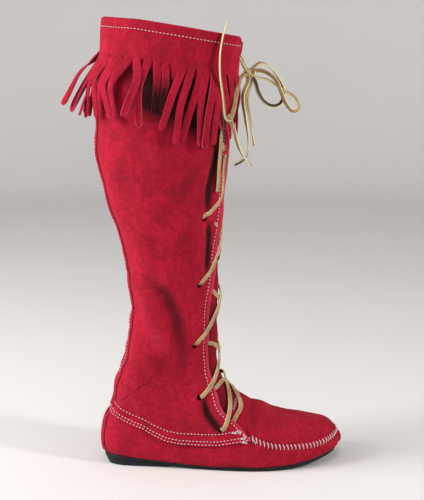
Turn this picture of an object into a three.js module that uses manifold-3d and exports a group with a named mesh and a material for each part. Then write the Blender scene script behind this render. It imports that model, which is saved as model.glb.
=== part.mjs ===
// Moccasin boot for the right foot: suede foot part and knee-high shaft, laced over a tongue,
// with a fringed cuff and a thin rubber sole. Millimetres, +Z up, toe to +X, inner side to +Y.
// The origin is on the floor, in the middle of the heel's tread.
import * as THREE from 'three';
import { mergeVertices } from 'three/addons/utils/BufferGeometryUtils.js';
import Module from 'manifold-3d';

const wasm = await Module();
wasm.setup();

// Driving dimensions
const FOOT_LENGTH = 252;
const BALL_WIDTH = 98;
const INSTEP_HEIGHT = 72;
const BOOT_HEIGHT = 464;
const CALF_DEPTH = 143;
const CALF_WIDTH = 104;
const SUEDE = 1.6;
const TRIM_SUEDE = 1.4;
const GAP = 0.35;
const TREAD_CENTRE = 32;
const SOLE_THICKNESS = 4.2;
const HEEL_RISE = 7.2;
const TOE_SPRING = 9.5;
const INSOLE_THICKNESS = 2.5;
const INSOLE_INSET = 6.8;
const LAP = 12;
const MARGIN_UNDER_FOOT = 12;
const STRAP_HALF_WIDTH = 15;
const TAB_HALF_WIDTH = 16;
const SEAM_HEIGHT = 1.8;
const SEAM_HALF_WIDTH = 3.2;
const TONGUE_TUCK = 9;
const CUFF_DEPTH = 44;
const STRIP_WIDTH = 7.4;
const LACE_WIDTH = 4.6;
const LACE_THICKNESS = 1.8;
const LACE_LIFT = 2.4;
const CORD_DIAMETER = 3.4;
const KNOT_SIZE = 13;
const EDGE_SLOPE = 0.6;
const HEEL_BEVEL = 2;
const HEEL_SLOPE = 5.5;
const EYELET_SETBACK = 10;
const STRIP_ROOT = 5;
const STRIP_LIFT = 3.4;
const LEG_HEIGHT = BOOT_HEIGHT - INSTEP_HEIGHT;

// Reach of the cutting bodies, beyond the boot on every side
const THROUGH = BALL_WIDTH * 2;
const HIGH = BOOT_HEIGHT * 1.2;

// Layers outside the last: the shaft, then the trim sewn on it, then the lace
const SHAFT_INNER = GAP;
const SHAFT_OUTER = SHAFT_INNER + SUEDE;
const TRIM_INNER = SHAFT_OUTER + GAP;
const TRIM_OUTER = TRIM_INNER + TRIM_SUEDE;
const LACE_LAYER = SHAFT_OUTER + LACE_LIFT;

// Sections of the foot, from the toe back to the heel. Each section is a plane across the foot,
// from a point under or behind it to a point on top. Places along are shares of FOOT_LENGTH from
// the back of the heel, heights of INSTEP_HEIGHT, and the rest across of BALL_WIDTH.
const FOOT_SECTIONS = [
  { backX: 0.998, backZ: 0.18, topX: 0.997, topZ: 0.34, swing: 0.195, outer: 0.115, inner: 0.110,
    wide: 0.45, low: 2.2, high: 2.2 },
  { backX: 0.987, backZ: 0.08, topX: 0.982, topZ: 0.435, swing: 0.187, outer: 0.205, inner: 0.195,
    wide: 0.42, low: 2.4, high: 2.3 },
  { backX: 0.962, backZ: 0.02, topX: 0.953, topZ: 0.53, swing: 0.172, outer: 0.290, inner: 0.280,
    wide: 0.40, low: 2.9, high: 2.2 },
  { backX: 0.928, backZ: 0.00, topX: 0.910, topZ: 0.585, swing: 0.145, outer: 0.370, inner: 0.360,
    wide: 0.38, low: 3.4, high: 2.1 },
  { backX: 0.862, backZ: -0.04, topX: 0.836, topZ: 0.64, swing: 0.102, outer: 0.445, inner: 0.440,
    wide: 0.37, low: 3.8, high: 2.0 },
  { backX: 0.780, backZ: -0.07, topX: 0.752, topZ: 0.705, swing: 0.056, outer: 0.480, inner: 0.470,
    wide: 0.36, low: 4.0, high: 2.0 },
  { backX: 0.674, backZ: -0.08, topX: 0.666, topZ: 0.84, swing: 0.010, outer: 0.490, inner: 0.480,
    wide: 0.35, low: 4.0, high: 2.0 },
  { backX: 0.575, backZ: -0.08, topX: 0.583, topZ: 0.986, swing: -0.010, outer: 0.470, inner: 0.440,
    wide: 0.33, low: 4.0, high: 2.0 },
  { backX: 0.450, backZ: -0.08, topX: 0.520, topZ: 1.139, swing: -0.020, outer: 0.435, inner: 0.370,
    wide: 0.32, low: 3.9, high: 2.1 },
  { backX: 0.325, backZ: -0.06, topX: 0.496, topZ: 1.333, swing: -0.015, outer: 0.400, inner: 0.340,
    wide: 0.32, low: 3.7, high: 2.15 },
  { backX: 0.185, backZ: -0.03, topX: 0.482, topZ: 1.528, swing: -0.010, outer: 0.375, inner: 0.335,
    wide: 0.34, low: 3.4, high: 2.15 },
  { backX: 0.070, backZ: 0.03, topX: 0.480, topZ: 1.667, swing: 0, outer: 0.355, inner: 0.335,
    wide: 0.38, low: 3.1, high: 2.1 },
  { backX: 0.012, backZ: 0.16, topX: 0.480, topZ: 1.819, swing: 0, outer: 0.345, inner: 0.335,
    wide: 0.41, low: 2.8, high: 2.1 },
  { backX: 0.000, backZ: 0.38, topX: 0.482, topZ: 1.972, swing: 0, outer: 0.340, inner: 0.335,
    wide: 0.43, low: 2.6, high: 2.05 },
  { backX: 0.009, backZ: 0.62, topX: 0.484, topZ: 2.111, swing: 0, outer: 0.340, inner: 0.335,
    wide: 0.44, low: 2.5, high: 2.05 },
];

// Sections of the leg, from above the heel to the collar. Places along are shares of CALF_DEPTH
// from the back of the heel, heights of LEG_HEIGHT above the instep, widths of CALF_WIDTH.
const LEG_SECTIONS = [
  { backX: 0.070, backZ: -0.036, topX: 0.853, topZ: 0.230, outer: 0.325, inner: 0.318,
    wide: 0.44, low: 2.4, high: 2.0 },
  { backX: 0.115, backZ: 0.020, topX: 0.853, topZ: 0.258, outer: 0.328, inner: 0.320,
    wide: 0.44, low: 2.35, high: 2.0 },
  { backX: 0.170, backZ: 0.082, topX: 0.853, topZ: 0.287, outer: 0.332, inner: 0.322,
    wide: 0.44, low: 2.3, high: 2.0 },
  { backX: 0.210, backZ: 0.138, topX: 0.853, topZ: 0.316, outer: 0.336, inner: 0.326,
    wide: 0.44, low: 2.25, high: 2.0 },
  { backX: 0.234, backZ: 0.200, topX: 0.853, topZ: 0.350, outer: 0.342, inner: 0.332,
    wide: 0.44, low: 2.2, high: 2.0 },
  { backX: 0.234, backZ: 0.270, topX: 0.857, topZ: 0.388, outer: 0.356, inner: 0.346,
    wide: 0.44, low: 2.2, high: 2.0 },
  { backX: 0.208, backZ: 0.350, topX: 0.864, topZ: 0.437, outer: 0.385, inner: 0.375,
    wide: 0.44, low: 2.15, high: 2.0 },
  { backX: 0.154, backZ: 0.436, topX: 0.874, topZ: 0.492, outer: 0.420, inner: 0.410,
    wide: 0.45, low: 2.1, high: 2.0 },
  { backX: 0.062, backZ: 0.538, topX: 0.893, topZ: 0.570, outer: 0.455, inner: 0.445,
    wide: 0.45, low: 2.1, high: 2.0 },
  { backX: 0.008, backZ: 0.628, topX: 0.913, topZ: 0.640, outer: 0.480, inner: 0.470,
    wide: 0.45, low: 2.1, high: 2.0 },
  { backX: 0.000, backZ: 0.712, topX: 0.936, topZ: 0.710, outer: 0.490, inner: 0.485,
    wide: 0.45, low: 2.1, high: 2.0 },
  { backX: 0.020, backZ: 0.824, topX: 0.975, topZ: 0.806, outer: 0.497, inner: 0.490,
    wide: 0.45, low: 2.1, high: 2.0 },
  { backX: 0.040, backZ: 0.915, topX: 1.010, topZ: 0.888, outer: 0.500, inner: 0.493,
    wide: 0.45, low: 2.1, high: 2.0 },
  { backX: 0.060, backZ: 1.010, topX: 1.045, topZ: 0.962, outer: 0.502, inner: 0.495,
    wide: 0.45, low: 2.1, high: 2.0 },
];

// Plan of the sole, from heel to toe: along in shares of FOOT_LENGTH, across of BALL_WIDTH.
const SOLE_STATIONS = [
  { along: 0.008, outer: 0.035, inner: 0.035 },
  { along: 0.014, outer: 0.120, inner: 0.120 },
  { along: 0.036, outer: 0.200, inner: 0.200 },
  { along: 0.078, outer: 0.270, inner: 0.270 },
  { along: 0.140, outer: 0.303, inner: 0.300 },
  { along: 0.240, outer: 0.325, inner: 0.303 },
  { along: 0.360, outer: 0.370, inner: 0.302 },
  { along: 0.476, outer: 0.425, inner: 0.335 },
  { along: 0.590, outer: 0.465, inner: 0.415 },
  { along: 0.690, outer: 0.458, inner: 0.476 },
  { along: 0.790, outer: 0.402, inner: 0.512 },
  { along: 0.873, outer: 0.300, inner: 0.508 },
  { along: 0.932, outer: 0.172, inner: 0.458 },
  { along: 0.967, outer: 0.055, inner: 0.382 },
  { along: 0.983, outer: -0.055, inner: 0.300 },
  { along: 0.989, outer: -0.155, inner: 0.220 },
];
// Height of the sole's underside: heel is a share of HEEL_RISE, toe one of TOE_SPRING.
const SOLE_RISE = [
  { along: -0.10, heel: 1.00, toe: 0 },
  { along: 0.06, heel: 0.94, toe: 0 },
  { along: 0.266, heel: 0.46, toe: 0 },
  { along: 0.35, heel: 0.16, toe: 0 },
  { along: 0.43, heel: 0, toe: 0 },
  { along: 0.69, heel: 0, toe: 0 },
  { along: 0.79, heel: 0, toe: 0.15 },
  { along: 0.89, heel: 0, toe: 0.52 },
  { along: 0.99, heel: 0, toe: 1.00 },
  { along: 1.10, heel: 0, toe: 1.50 },
];
const HEEL_BREAST = 0.266;

// Lines seen from the side. In the foot, along is a share of FOOT_LENGTH and up of INSTEP_HEIGHT.
const LAP_EDGE = [
  { along: -0.06, up: 0.84 }, { along: 0.020, up: 0.82 }, { along: 0.075, up: 0.73 },
  { along: 0.125, up: 0.65 }, { along: 0.180, up: 0.575 }, { along: 0.215, up: 0.500 },
  { along: 0.275, up: 0.410 }, { along: 0.330, up: 0.380 }, { along: 0.420, up: 0.370 },
  { along: 0.492, up: 0.382 }, { along: 0.575, up: 0.430 }, { along: 0.619, up: 0.458 },
];
const THROAT_FOOT = [
  { along: 0.619, up: 0.458 }, { along: 0.567, up: 0.67 }, { along: 0.530, up: 0.75 },
  { along: 0.507, up: 0.83 }, { along: 0.490, up: 0.92 }, { along: 0.476, up: 1.08 },
  { along: 0.458, up: 1.22 }, { along: 0.443, up: 1.44 }, { along: 0.437, up: 1.71 },
];
// Throat edge on the leg: along in shares of CALF_DEPTH, up of LEG_HEIGHT above the instep.
const THROAT_LEG = [
  { along: 0.778, up: 0.190 }, { along: 0.786, up: 0.250 }, { along: 0.800, up: 0.300 },
  { along: 0.836, up: 0.400 }, { along: 0.860, up: 0.454 }, { along: 0.909, up: 0.663 },
  { along: 0.945, up: 0.790 }, { along: 0.985, up: 0.910 }, { along: 1.005, up: 1.050 },
];
const COLLAR_LINE = [
  { along: -0.40, up: 1.004 }, { along: 0.05, up: 0.998 }, { along: 0.30, up: 0.990 },
  { along: 0.60, up: 0.972 }, { along: 1.04, up: 0.944 }, { along: 1.40, up: 0.925 },
];
// Vamp seam's height over the length of the foot.
const VAMP_SEAM = [
  { along: 0.52, up: 0.72 }, { along: 0.567, up: 0.63 }, { along: 0.627, up: 0.49 },
  { along: 0.659, up: 0.43 }, { along: 0.702, up: 0.375 }, { along: 0.746, up: 0.347 },
  { along: 0.829, up: 0.325 }, { along: 0.873, up: 0.322 }, { along: 0.917, up: 0.335 },
  { along: 0.952, up: 0.360 }, { along: 0.976, up: 0.385 }, { along: 1.02, up: 0.42 },
];
const SEAM_START = 0.627;
// Where the tongue meets the vamp: a straight line in the side view.
const TONGUE_JOINT = [{ along: 0.515, up: 0.66 }, { along: 0.580, up: 1.10 }];

// Strips of the fringe round the cuff, from the throat over the outer side to the back. lean is
// the share of the strip's own length that its tip drifts back, flare how far it stands off in mm.
const FRINGE_STRIPS = [
  { length: 66, lean: 0.10, flare: 3 }, { length: 78, lean: 0.14, flare: 7 },
  { length: 72, lean: 0.10, flare: 4 }, { length: 80, lean: 0.22, flare: 9 },
  { length: 76, lean: 0.18, flare: 4 }, { length: 82, lean: 0.30, flare: 10 },
  { length: 74, lean: 0.34, flare: 5 }, { length: 66, lean: 0.36, flare: 11 },
  { length: 64, lean: 0.16, flare: 3 }, { length: 52, lean: 0.08, flare: 6 },
  { length: 62, lean: 0.10, flare: 4 }, { length: 60, lean: 0.30, flare: 12 },
  { length: 56, lean: 0.04, flare: 3 }, { length: 60, lean: 0.12, flare: 7 },
  { length: 64, lean: 0.28, flare: 9 }, { length: 58, lean: 0.14, flare: 5 },
  { length: 62, lean: 0.36, flare: 13 }, { length: 60, lean: 0.42, flare: 17 },
  { length: 62, lean: 0.30, flare: 21 }, { length: 58, lean: 0.36, flare: 25 },
  { length: 62, lean: 0.10, flare: 22 },
];
// Where the fringe ends short of the front, as a share of a turn.
const FRINGE_START = 0.085;
// Top of the heel tab, a share of INSTEP_HEIGHT, and its front in shares of FOOT_LENGTH.
const TAB_TOP = 0.69;
const TAB_FRONT = 0.12;

// Eyelet pairs from the collar down: height as a share of BOOT_HEIGHT.
const EYELETS = [0.822, 0.722, 0.573, 0.422, 0.287, 0.170, 0.103];

// Reads one column of a table as a smooth curve of a running number, row 0 being 0.
function column(rows, name, at) {
  const last = rows.length - 1;
  const place = Math.min(Math.max(at, 0), last);
  const index = Math.min(Math.floor(place), last - 1);
  const t = place - index;
  const value = (i) => rows[Math.min(Math.max(i, 0), last)][name];
  const [a, b, c, d] = [value(index - 1), value(index), value(index + 1), value(index + 2)];
  return b + 0.5 * t * (c - a + t * (2 * a - 5 * b + 4 * c - d + t * (3 * (b - c) + d - a)));
}

// Reads one column of a table as a line chart over another column.
function chart(rows, over, name, at) {
  const next = rows.findIndex((row) => row[over] >= at);
  if (next === 0) return rows[0][name];
  if (next < 0) return rows[rows.length - 1][name];
  const [low, high] = [rows[next - 1], rows[next]];
  return low[name] + ((high[name] - low[name]) * (at - low[over])) / (high[over] - low[over]);
}

// Sections in millimetres, one list from toe to collar.
const SECTIONS = [
  ...FOOT_SECTIONS.map((row) => ({
    ...row,
    backX: row.backX * FOOT_LENGTH,
    topX: row.topX * FOOT_LENGTH,
    backZ: row.backZ * INSTEP_HEIGHT,
    topZ: row.topZ * INSTEP_HEIGHT,
    swing: row.swing * BALL_WIDTH,
    outer: row.outer * BALL_WIDTH,
    inner: row.inner * BALL_WIDTH,
  })),
  ...LEG_SECTIONS.map((row) => ({
    ...row,
    backX: row.backX * CALF_DEPTH,
    topX: row.topX * CALF_DEPTH,
    backZ: INSTEP_HEIGHT + row.backZ * LEG_HEIGHT,
    topZ: INSTEP_HEIGHT + row.topZ * LEG_HEIGHT,
    swing: 0,
    outer: row.outer * CALF_WIDTH,
    inner: row.inner * CALF_WIDTH,
  })),
];

// Running section numbers: where the shaft's skin begins, the ankle's, the calf's and the collar
const INSTEP = 6;
const ANKLE = FOOT_SECTIONS.length + 3;
const CALF_START = ANKLE - 2;
const COLLAR = SECTIONS.length - 1;

// Spacing of a skin's stations in sections: in the toe's rows, along the foot and up the leg
const TOE_ROWS = 2;
const TOE_STEP = 0.25;
const FOOT_STEP = 0.5;
const LEG_STEP = 1;

// Columns of a skin on each side, below and above the raised seam, and turns round a section
const LOW_COLUMNS = 7;
const TOP_COLUMNS = 3;
const SEAM_FADE_ROWS = 4;
const SIDE_TURN = 0.25;
const MIDDLE_TURN = 0.33;
const TOP_TURN = 0.46;
const FRONT_TURN = 0.5;

const footAlong = (share) => share * FOOT_LENGTH - TREAD_CENTRE;
const legAlong = (share) => share * CALF_DEPTH - TREAD_CENTRE;
const footUp = (share) => share * INSTEP_HEIGHT;
const legUp = (share) => INSTEP_HEIGHT + share * LEG_HEIGHT;

// Height of the outsole's underside at a place along the part's X axis.
function underside(x) {
  const along = (x + TREAD_CENTRE) / FOOT_LENGTH;
  const heel = chart(SOLE_RISE, 'along', 'heel', along) * HEEL_RISE;
  return heel + chart(SOLE_RISE, 'along', 'toe', along) * TOE_SPRING;
}
const seat = (x) => underside(x) + SOLE_THICKNESS + GAP;

// A point of the last: at is the running section number, turn goes once round the section from
// the back or bottom over the outer side, the top and the inner side.
function lastPoint(at, turn) {
  const read = (name) => column(SECTIONS, name, at);
  const angle = (turn - SIDE_TURN) * 2 * Math.PI;
  const [across, up] = [Math.cos(angle), Math.sin(angle)];
  const power = up < 0 ? read('low') : read('high');
  const reach = (Math.abs(across) ** power + Math.abs(up) ** power) ** (-1 / power);
  const wide = read('wide');
  const level = wide + up * reach * (up < 0 ? wide : 1 - wide);
  const side = across > 0 ? -read('outer') : read('inner');
  return new THREE.Vector3(
    read('backX') + level * (read('topX') - read('backX')) - TREAD_CENTRE,
    read('swing') + side * Math.abs(across) * reach,
    read('backZ') + level * (read('topZ') - read('backZ')),
  );
}

function lastNormal(at, turn) {
  const step = 0.02;
  const along = lastPoint(Math.min(at + step, COLLAR), turn);
  along.sub(lastPoint(Math.max(at - step, 0), turn));
  const round = lastPoint(at, turn + step / 4).sub(lastPoint(at, turn - step / 4));
  return round.cross(along).normalize();
}

// Height of the raised seam over the vamp at a point of the last.
function seamRidge(point, normal) {
  const along = (point.x + TREAD_CENTRE) / FOOT_LENGTH;
  const line = (share) => footUp(chart(VAMP_SEAM, 'along', 'up', share));
  const step = 0.01;
  const slope = (line(along + step) - line(along - step)) / (2 * step * FOOT_LENGTH);
  const climb = new THREE.Vector3(-slope, 0, 1);
  climb.addScaledVector(normal, -climb.dot(normal));
  const leastClimb = 0.2;
  const distance = Math.abs(point.z - line(along)) / Math.max(climb.length(), leastClimb);
  const shown = Math.min(1, Math.max(0, ((along - SEAM_START) * FOOT_LENGTH) / SEAM_HALF_WIDTH));
  return SEAM_HEIGHT * Math.max(0, 1 - distance / SEAM_HALF_WIDTH) * shown;
}

// The last's surface moved out by grow, pressed flat where it sits on the sole.
function skinPoint(at, turn, grow, ridge = false) {
  const point = lastPoint(at, turn);
  const normal = lastNormal(at, turn);
  const extra = ridge ? seamRidge(point, normal) : 0;
  point.addScaledVector(normal, grow + extra);
  point.z = Math.max(point.z, seat(point.x) - grow);
  return point;
}

function geometryOf(points, triangles) {
  const geometry = new THREE.BufferGeometry();
  const flat = points.flatMap((point) => [point.x, point.y, point.z]);
  geometry.setAttribute('position', new THREE.Float32BufferAttribute(flat, 3));
  geometry.setIndex(triangles);
  return geometry;
}

// Closes a list of equal rings into a skin, with a fan over each end.
function closedRings(rings) {
  const count = rings[0].length;
  const points = rings.flat();
  const triangles = [];
  for (let row = 0; row + 1 < rings.length; row += 1) {
    for (let i = 0; i < count; i += 1) {
      const [a, b] = [row * count + i, row * count + ((i + 1) % count)];
      triangles.push(a, b, b + count, a, b + count, a + count);
    }
  }
  for (const [row, flip] of [[0, true], [rings.length - 1, false]]) {
    const centre = new THREE.Vector3();
    rings[row].forEach((point) => centre.addScaledVector(point, 1 / count));
    points.push(centre);
    for (let i = 0; i < count; i += 1) {
      const [a, b] = [row * count + i, row * count + ((i + 1) % count)];
      triangles.push(points.length - 1, ...(flip ? [b, a] : [a, b]));
    }
  }
  return geometryOf(points, triangles);
}

// The stations of every skin, close together at the toe and far apart on the calf.
const STATIONS = [0];
while (STATIONS[STATIONS.length - 1] < COLLAR) {
  const at = STATIONS[STATIONS.length - 1];
  const footStep = at < TOE_ROWS ? TOE_STEP : FOOT_STEP;
  STATIONS.push(at + (at < CALF_START ? footStep : LEG_STEP));
}

// Turns of the points round a section: three of each half follow the raised seam.
function turnsAt(at) {
  const above = (turn) => {
    const point = lastPoint(at, turn);
    return point.z - footUp(chart(VAMP_SEAM, 'along', 'up', (point.x + TREAD_CENTRE) / FOOT_LENGTH));
  };
  const found = solve(above, 0, SIDE_TURN, TOP_TURN);
  const fade = Math.min(1, Math.max(0, (at - INSTEP - 1) / SEAM_FADE_ROWS));
  const seam = found + (MIDDLE_TURN - found) * fade;
  const step = 0.01;
  const span = lastPoint(at, seam + step).distanceTo(lastPoint(at, seam - step)) / (2 * step);
  const half = Math.min(SEAM_HALF_WIDTH / span, (FRONT_TURN - seam) / 2);
  const low = Array.from({ length: LOW_COLUMNS }, (_, i) => ((seam - half) * (i + 0.5)) / LOW_COLUMNS);
  const top = Array.from({ length: TOP_COLUMNS }, (_, i) => (
    FRONT_TURN - ((FRONT_TURN - seam - half) * (i + 0.5)) / (TOP_COLUMNS + 0.5)
  ));
  const side = [...low, seam - half, seam, seam + half, ...top.reverse()];
  return [...side, ...side.map((turn) => 1 - turn).reverse()];
}

// A closed body inside the last's skin, between two sections.
function form(grow, { from, to, ridge = false }) {
  const stations = STATIONS.filter((at) => at >= from && at <= to);
  return solidOf(closedRings(stations.map((at) => (
    turnsAt(at).map((turn) => skinPoint(at, turn, grow, ridge))
  ))));
}

function solidOf(geometry) {
  geometry.deleteAttribute('normal');
  geometry.deleteAttribute('uv');
  const merged = mergeVertices(geometry, 1e-4);
  return new wasm.Manifold(new wasm.Mesh({
    numProp: 3,
    vertProperties: merged.attributes.position.array,
    triVerts: Uint32Array.from(merged.index.array),
  }));
}

function shell(outer, inner, options) {
  return form(outer, options).subtract(form(inner, { ...options, ridge: false }));
}

// A body through the whole width, from an outline seen from the side.
function throughSide(outline, from = -THROUGH, to = THROUGH) {
  const shape = new THREE.Shape(outline.map(([x, z]) => new THREE.Vector2(x, z)));
  const geometry = new THREE.ExtrudeGeometry(shape, { depth: to - from, bevelEnabled: false });
  geometry.rotateX(Math.PI / 2);
  geometry.translate(0, to, 0);
  return solidOf(geometry);
}

const footLine = (rows) => rows.map((row) => [footAlong(row.along), footUp(row.up)]);
const legLine = (rows) => rows.map((row) => [legAlong(row.along), legUp(row.up)]);
const raised = (line, by) => line.map(([x, z]) => [x, z + by]);

// A named piece with its colour, matt unless a roughness is given.
function piece(name, solid, colour, roughness = NAP) {
  const mesh = solid.getMesh();
  const geometry = new THREE.BufferGeometry();
  geometry.setAttribute('position', new THREE.BufferAttribute(mesh.vertProperties, 3));
  geometry.setIndex(new THREE.BufferAttribute(mesh.triVerts, 1));
  const material = new THREE.MeshStandardMaterial({ color: colour, roughness, metalness: 0 });
  const node = new THREE.Mesh(geometry, material);
  node.name = name;
  return node;
}

const RED = '#b01c34';
const DARK_RED = '#8f1629';
const RUBBER = '#14161f';
const TAN = '#c39a63';
const NAP = 0.95;
const WAXED = 0.7;
const MOULDED = 0.6;

const lapLine = footLine(LAP_EDGE);
const throatLine = [...footLine(THROAT_FOOT), ...legLine(THROAT_LEG)];
const collarLine = COLLAR_LINE.map((row) => [legAlong(row.along), row.up * BOOT_HEIGHT]);
const jointLine = footLine(TONGUE_JOINT);
const collarSlope = collarLine.map(([x, z]) => ({ x, z }));
const LEG_TOP = COLLAR_LINE[COLLAR_LINE.length - 1].up * BOOT_HEIGHT;

// The foot part: hollow wall with the raised seam, under the shaft's lap.
function upperSolid() {
  const wall = shell(0, -SUEDE, { from: 0, to: ANKLE, ridge: true });
  const lapTop = raised(lapLine, LAP).filter(([x]) => x < jointLine[0][0]);
  const region = throughSide([
    [-THROUGH, -HEEL_RISE],
    [FOOT_LENGTH, -HEEL_RISE],
    [FOOT_LENGTH, jointLine[1][1]],
    [jointLine[1][0] + GAP, jointLine[1][1]],
    [jointLine[0][0] + GAP, jointLine[0][1]],
    ...lapTop.reverse(),
  ]);
  return wall.intersect(region).subtract(soleOpening());
}

// The sole's plan at a running station number, moved in by a margin.
function planPoint(at, side, margin) {
  const x = column(SOLE_STATIONS, 'along', at) * FOOT_LENGTH - TREAD_CENTRE;
  const outer = column(SOLE_STATIONS, 'outer', at) * BALL_WIDTH - margin;
  const inner = column(SOLE_STATIONS, 'inner', at) * BALL_WIDTH - margin;
  return [x, side < 0 ? -outer : inner];
}

// The opening underneath, within the turned-in margin.
function soleOpening() {
  const heelEnd = 2.6;
  const toeEnd = SOLE_STATIONS.length - 4.2;
  const steps = 18;
  const edge = (side) => Array.from({ length: steps + 1 }, (_, i) => (
    planPoint(heelEnd + ((toeEnd - heelEnd) * i) / steps, side, MARGIN_UNDER_FOOT)
  ));
  const shape = new THREE.Shape([...edge(-1), ...edge(1).reverse()].map(([x, y]) => (
    new THREE.Vector2(x, y)
  )));
  const depth = HEEL_RISE + SOLE_THICKNESS + TOE_SPRING;
  return solidOf(new THREE.ExtrudeGeometry(shape, { depth, bevelEnabled: false }));
}

// A slab between two heights over the sole's plan. lower moves its bottom edge in at the sides,
// and slope forward at the heel.
function slab({ to, steps, top, bottom, margin = 0, lower = 0, slope = lower }) {
  const heelRows = 2;
  const middle = FOOT_LENGTH / 2 - TREAD_CENTRE;
  const rings = [];
  for (let step = 0; step <= steps; step += 1) {
    const at = (to * step) / steps;
    const [along, outer] = planPoint(at, -1, margin);
    const inner = planPoint(at, 1, margin)[1];
    const x = middle + (along - middle) * (1 - margin / middle);
    const set = Math.min(lower, (inner - outer) / 3);
    const push = slope * Math.max(0, 1 - at / heelRows);
    rings.push([
      new THREE.Vector3(x, outer, top(x)),
      new THREE.Vector3(x + push, outer + set, bottom(x)),
      new THREE.Vector3(x + push, inner - set, bottom(x)),
      new THREE.Vector3(x, inner, top(x)),
    ]);
  }
  return solidOf(closedRings(rings));
}

const soleTop = (x) => underside(x) + SOLE_THICKNESS;

function outsoleSolid() {
  const to = SOLE_STATIONS.length - 1;
  return slab({ to, steps: 45, top: soleTop, bottom: underside, lower: EDGE_SLOPE });
}

function heelLiftSolid() {
  const last = SOLE_STATIONS.length - 1;
  const breast = solve((at) => column(SOLE_STATIONS, 'along', at), HEEL_BREAST, 0, last);
  const top = (x) => underside(x) - GAP;
  const bottom = () => 0;
  const edge = { margin: EDGE_SLOPE, lower: HEEL_BEVEL, slope: HEEL_SLOPE };
  return slab({ to: breast, steps: 16, top, bottom, ...edge });
}

// The insole lies on the turned-in margin and fills the bottom of the foot.
function insoleSolid() {
  const to = SOLE_STATIONS.length - 1;
  const bottom = (x) => seat(x) + SUEDE + GAP;
  const top = (x) => bottom(x) + INSOLE_THICKNESS;
  return slab({ to, steps: 32, top, bottom, margin: INSOLE_INSET });
}

const belowCollar = (by = 0) => throughSide([
  [collarLine[0][0], -THROUGH],
  [collarLine[collarLine.length - 1][0], -THROUGH],
  ...raised(collarLine, by).reverse(),
]);

// The region behind the throat edge, moved forward by a distance, and above the lap.
function behindThroat(forward) {
  const edge = throatLine.slice(1).map(([x, z]) => [x + forward, z]);
  return throughSide([...lapLine, ...edge, [edge[edge.length - 1][0], HIGH], [-THROUGH, HIGH],
    [-THROUGH, lapLine[0][1]]]);
}

// Leg and quarters in one, cut out at the throat, the lap and the collar.
function shaftSolid() {
  const leg = shell(SHAFT_OUTER, SHAFT_INNER, { from: INSTEP, to: COLLAR });
  return leg.intersect(behindThroat(0)).intersect(belowCollar());
}

// The tongue fills the throat in the foot part's own layer, its edges tucked under the shaft.
function tongueSolid() {
  const sheet = shell(0, -SUEDE, { from: INSTEP, to: COLLAR });
  const [low, high] = jointLine;
  const tucked = throatLine.filter(([, z]) => z > low[1] + SUEDE)
    .map(([x, z]) => [x - TONGUE_TUCK, z]);
  const region = throughSide([low, high, [THROUGH, high[1]], [THROUGH, HIGH],
    [tucked[tucked.length - 1][0], HIGH], ...tucked.reverse()]);
  return sheet.intersect(region).intersect(belowCollar());
}

// Strip over the shaft's back seam, from the heel up to the cuff.
function backStrapSolid() {
  const sheet = shell(TRIM_OUTER, TRIM_INNER, { from: ANKLE - 8, to: COLLAR });
  const centre = legAlong(1 / 2);
  const foot = lapLine[0][1] + GAP;
  const top = raised(collarLine, -CUFF_DEPTH - GAP).filter(([x]) => x < centre);
  const end = top[top.length - 1][1];
  const outline = [[-THROUGH, foot], [centre, foot], [centre, end], ...top.reverse(), [-THROUGH, end]];
  return sheet.intersect(throughSide(outline, -STRAP_HALF_WIDTH, STRAP_HALF_WIDTH));
}

// Tab over the foot part's back seam, between the sole and the shaft's edge.
function heelTabSolid() {
  const sheet = shell(GAP + TRIM_SUEDE, GAP, { from: ANKLE - 9, to: ANKLE });
  const [back, front] = [-THROUGH, footAlong(TAB_FRONT)];
  const base = seat(-TREAD_CENTRE) + SUEDE;
  const outline = [[back, base], [front, base], [front, footUp(TAB_TOP)], [back, footUp(TAB_TOP)]];
  return sheet.intersect(throughSide(outline, -TAB_HALF_WIDTH, TAB_HALF_WIDTH));
}

// Solves for the argument in a range at which a rising function reaches a value.
function solve(rising, value, low, high) {
  let [a, b] = [low, high];
  for (let round = 0; round < 24; round += 1) {
    const middle = (a + b) / 2;
    if (rising(middle) < value) a = middle;
    else b = middle;
  }
  return (a + b) / 2;
}

// The running section number at a height, along one line of equal turn.
const sectionAt = (height, turn) => (
  solve((at) => lastPoint(at, turn).z, height, INSTEP, COLLAR)
);

// A point above the shaft's surface and the direction out of it there.
function legPlace(height, turn, grow) {
  const at = sectionAt(height, turn);
  return { point: skinPoint(at, turn, grow), out: lastNormal(at, turn) };
}

// A flat strip along a list of places, each with its point and outward direction.
function ribbon(places, width, thickness) {
  const rings = places.map(({ point, out }, i) => {
    const before = places[Math.max(i - 1, 0)].point;
    const travel = places[Math.min(i + 1, places.length - 1)].point.clone().sub(before).normalize();
    const across = travel.clone().cross(out).normalize();
    const rise = across.clone().cross(travel).normalize();
    return [[1, 1], [-1, 1], [-1, -1], [1, -1]].map(([up, side]) => point.clone()
      .addScaledVector(rise, (up * thickness) / 2)
      .addScaledVector(across, (side * width) / 2));
  });
  return solidOf(closedRings(rings));
}

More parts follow.
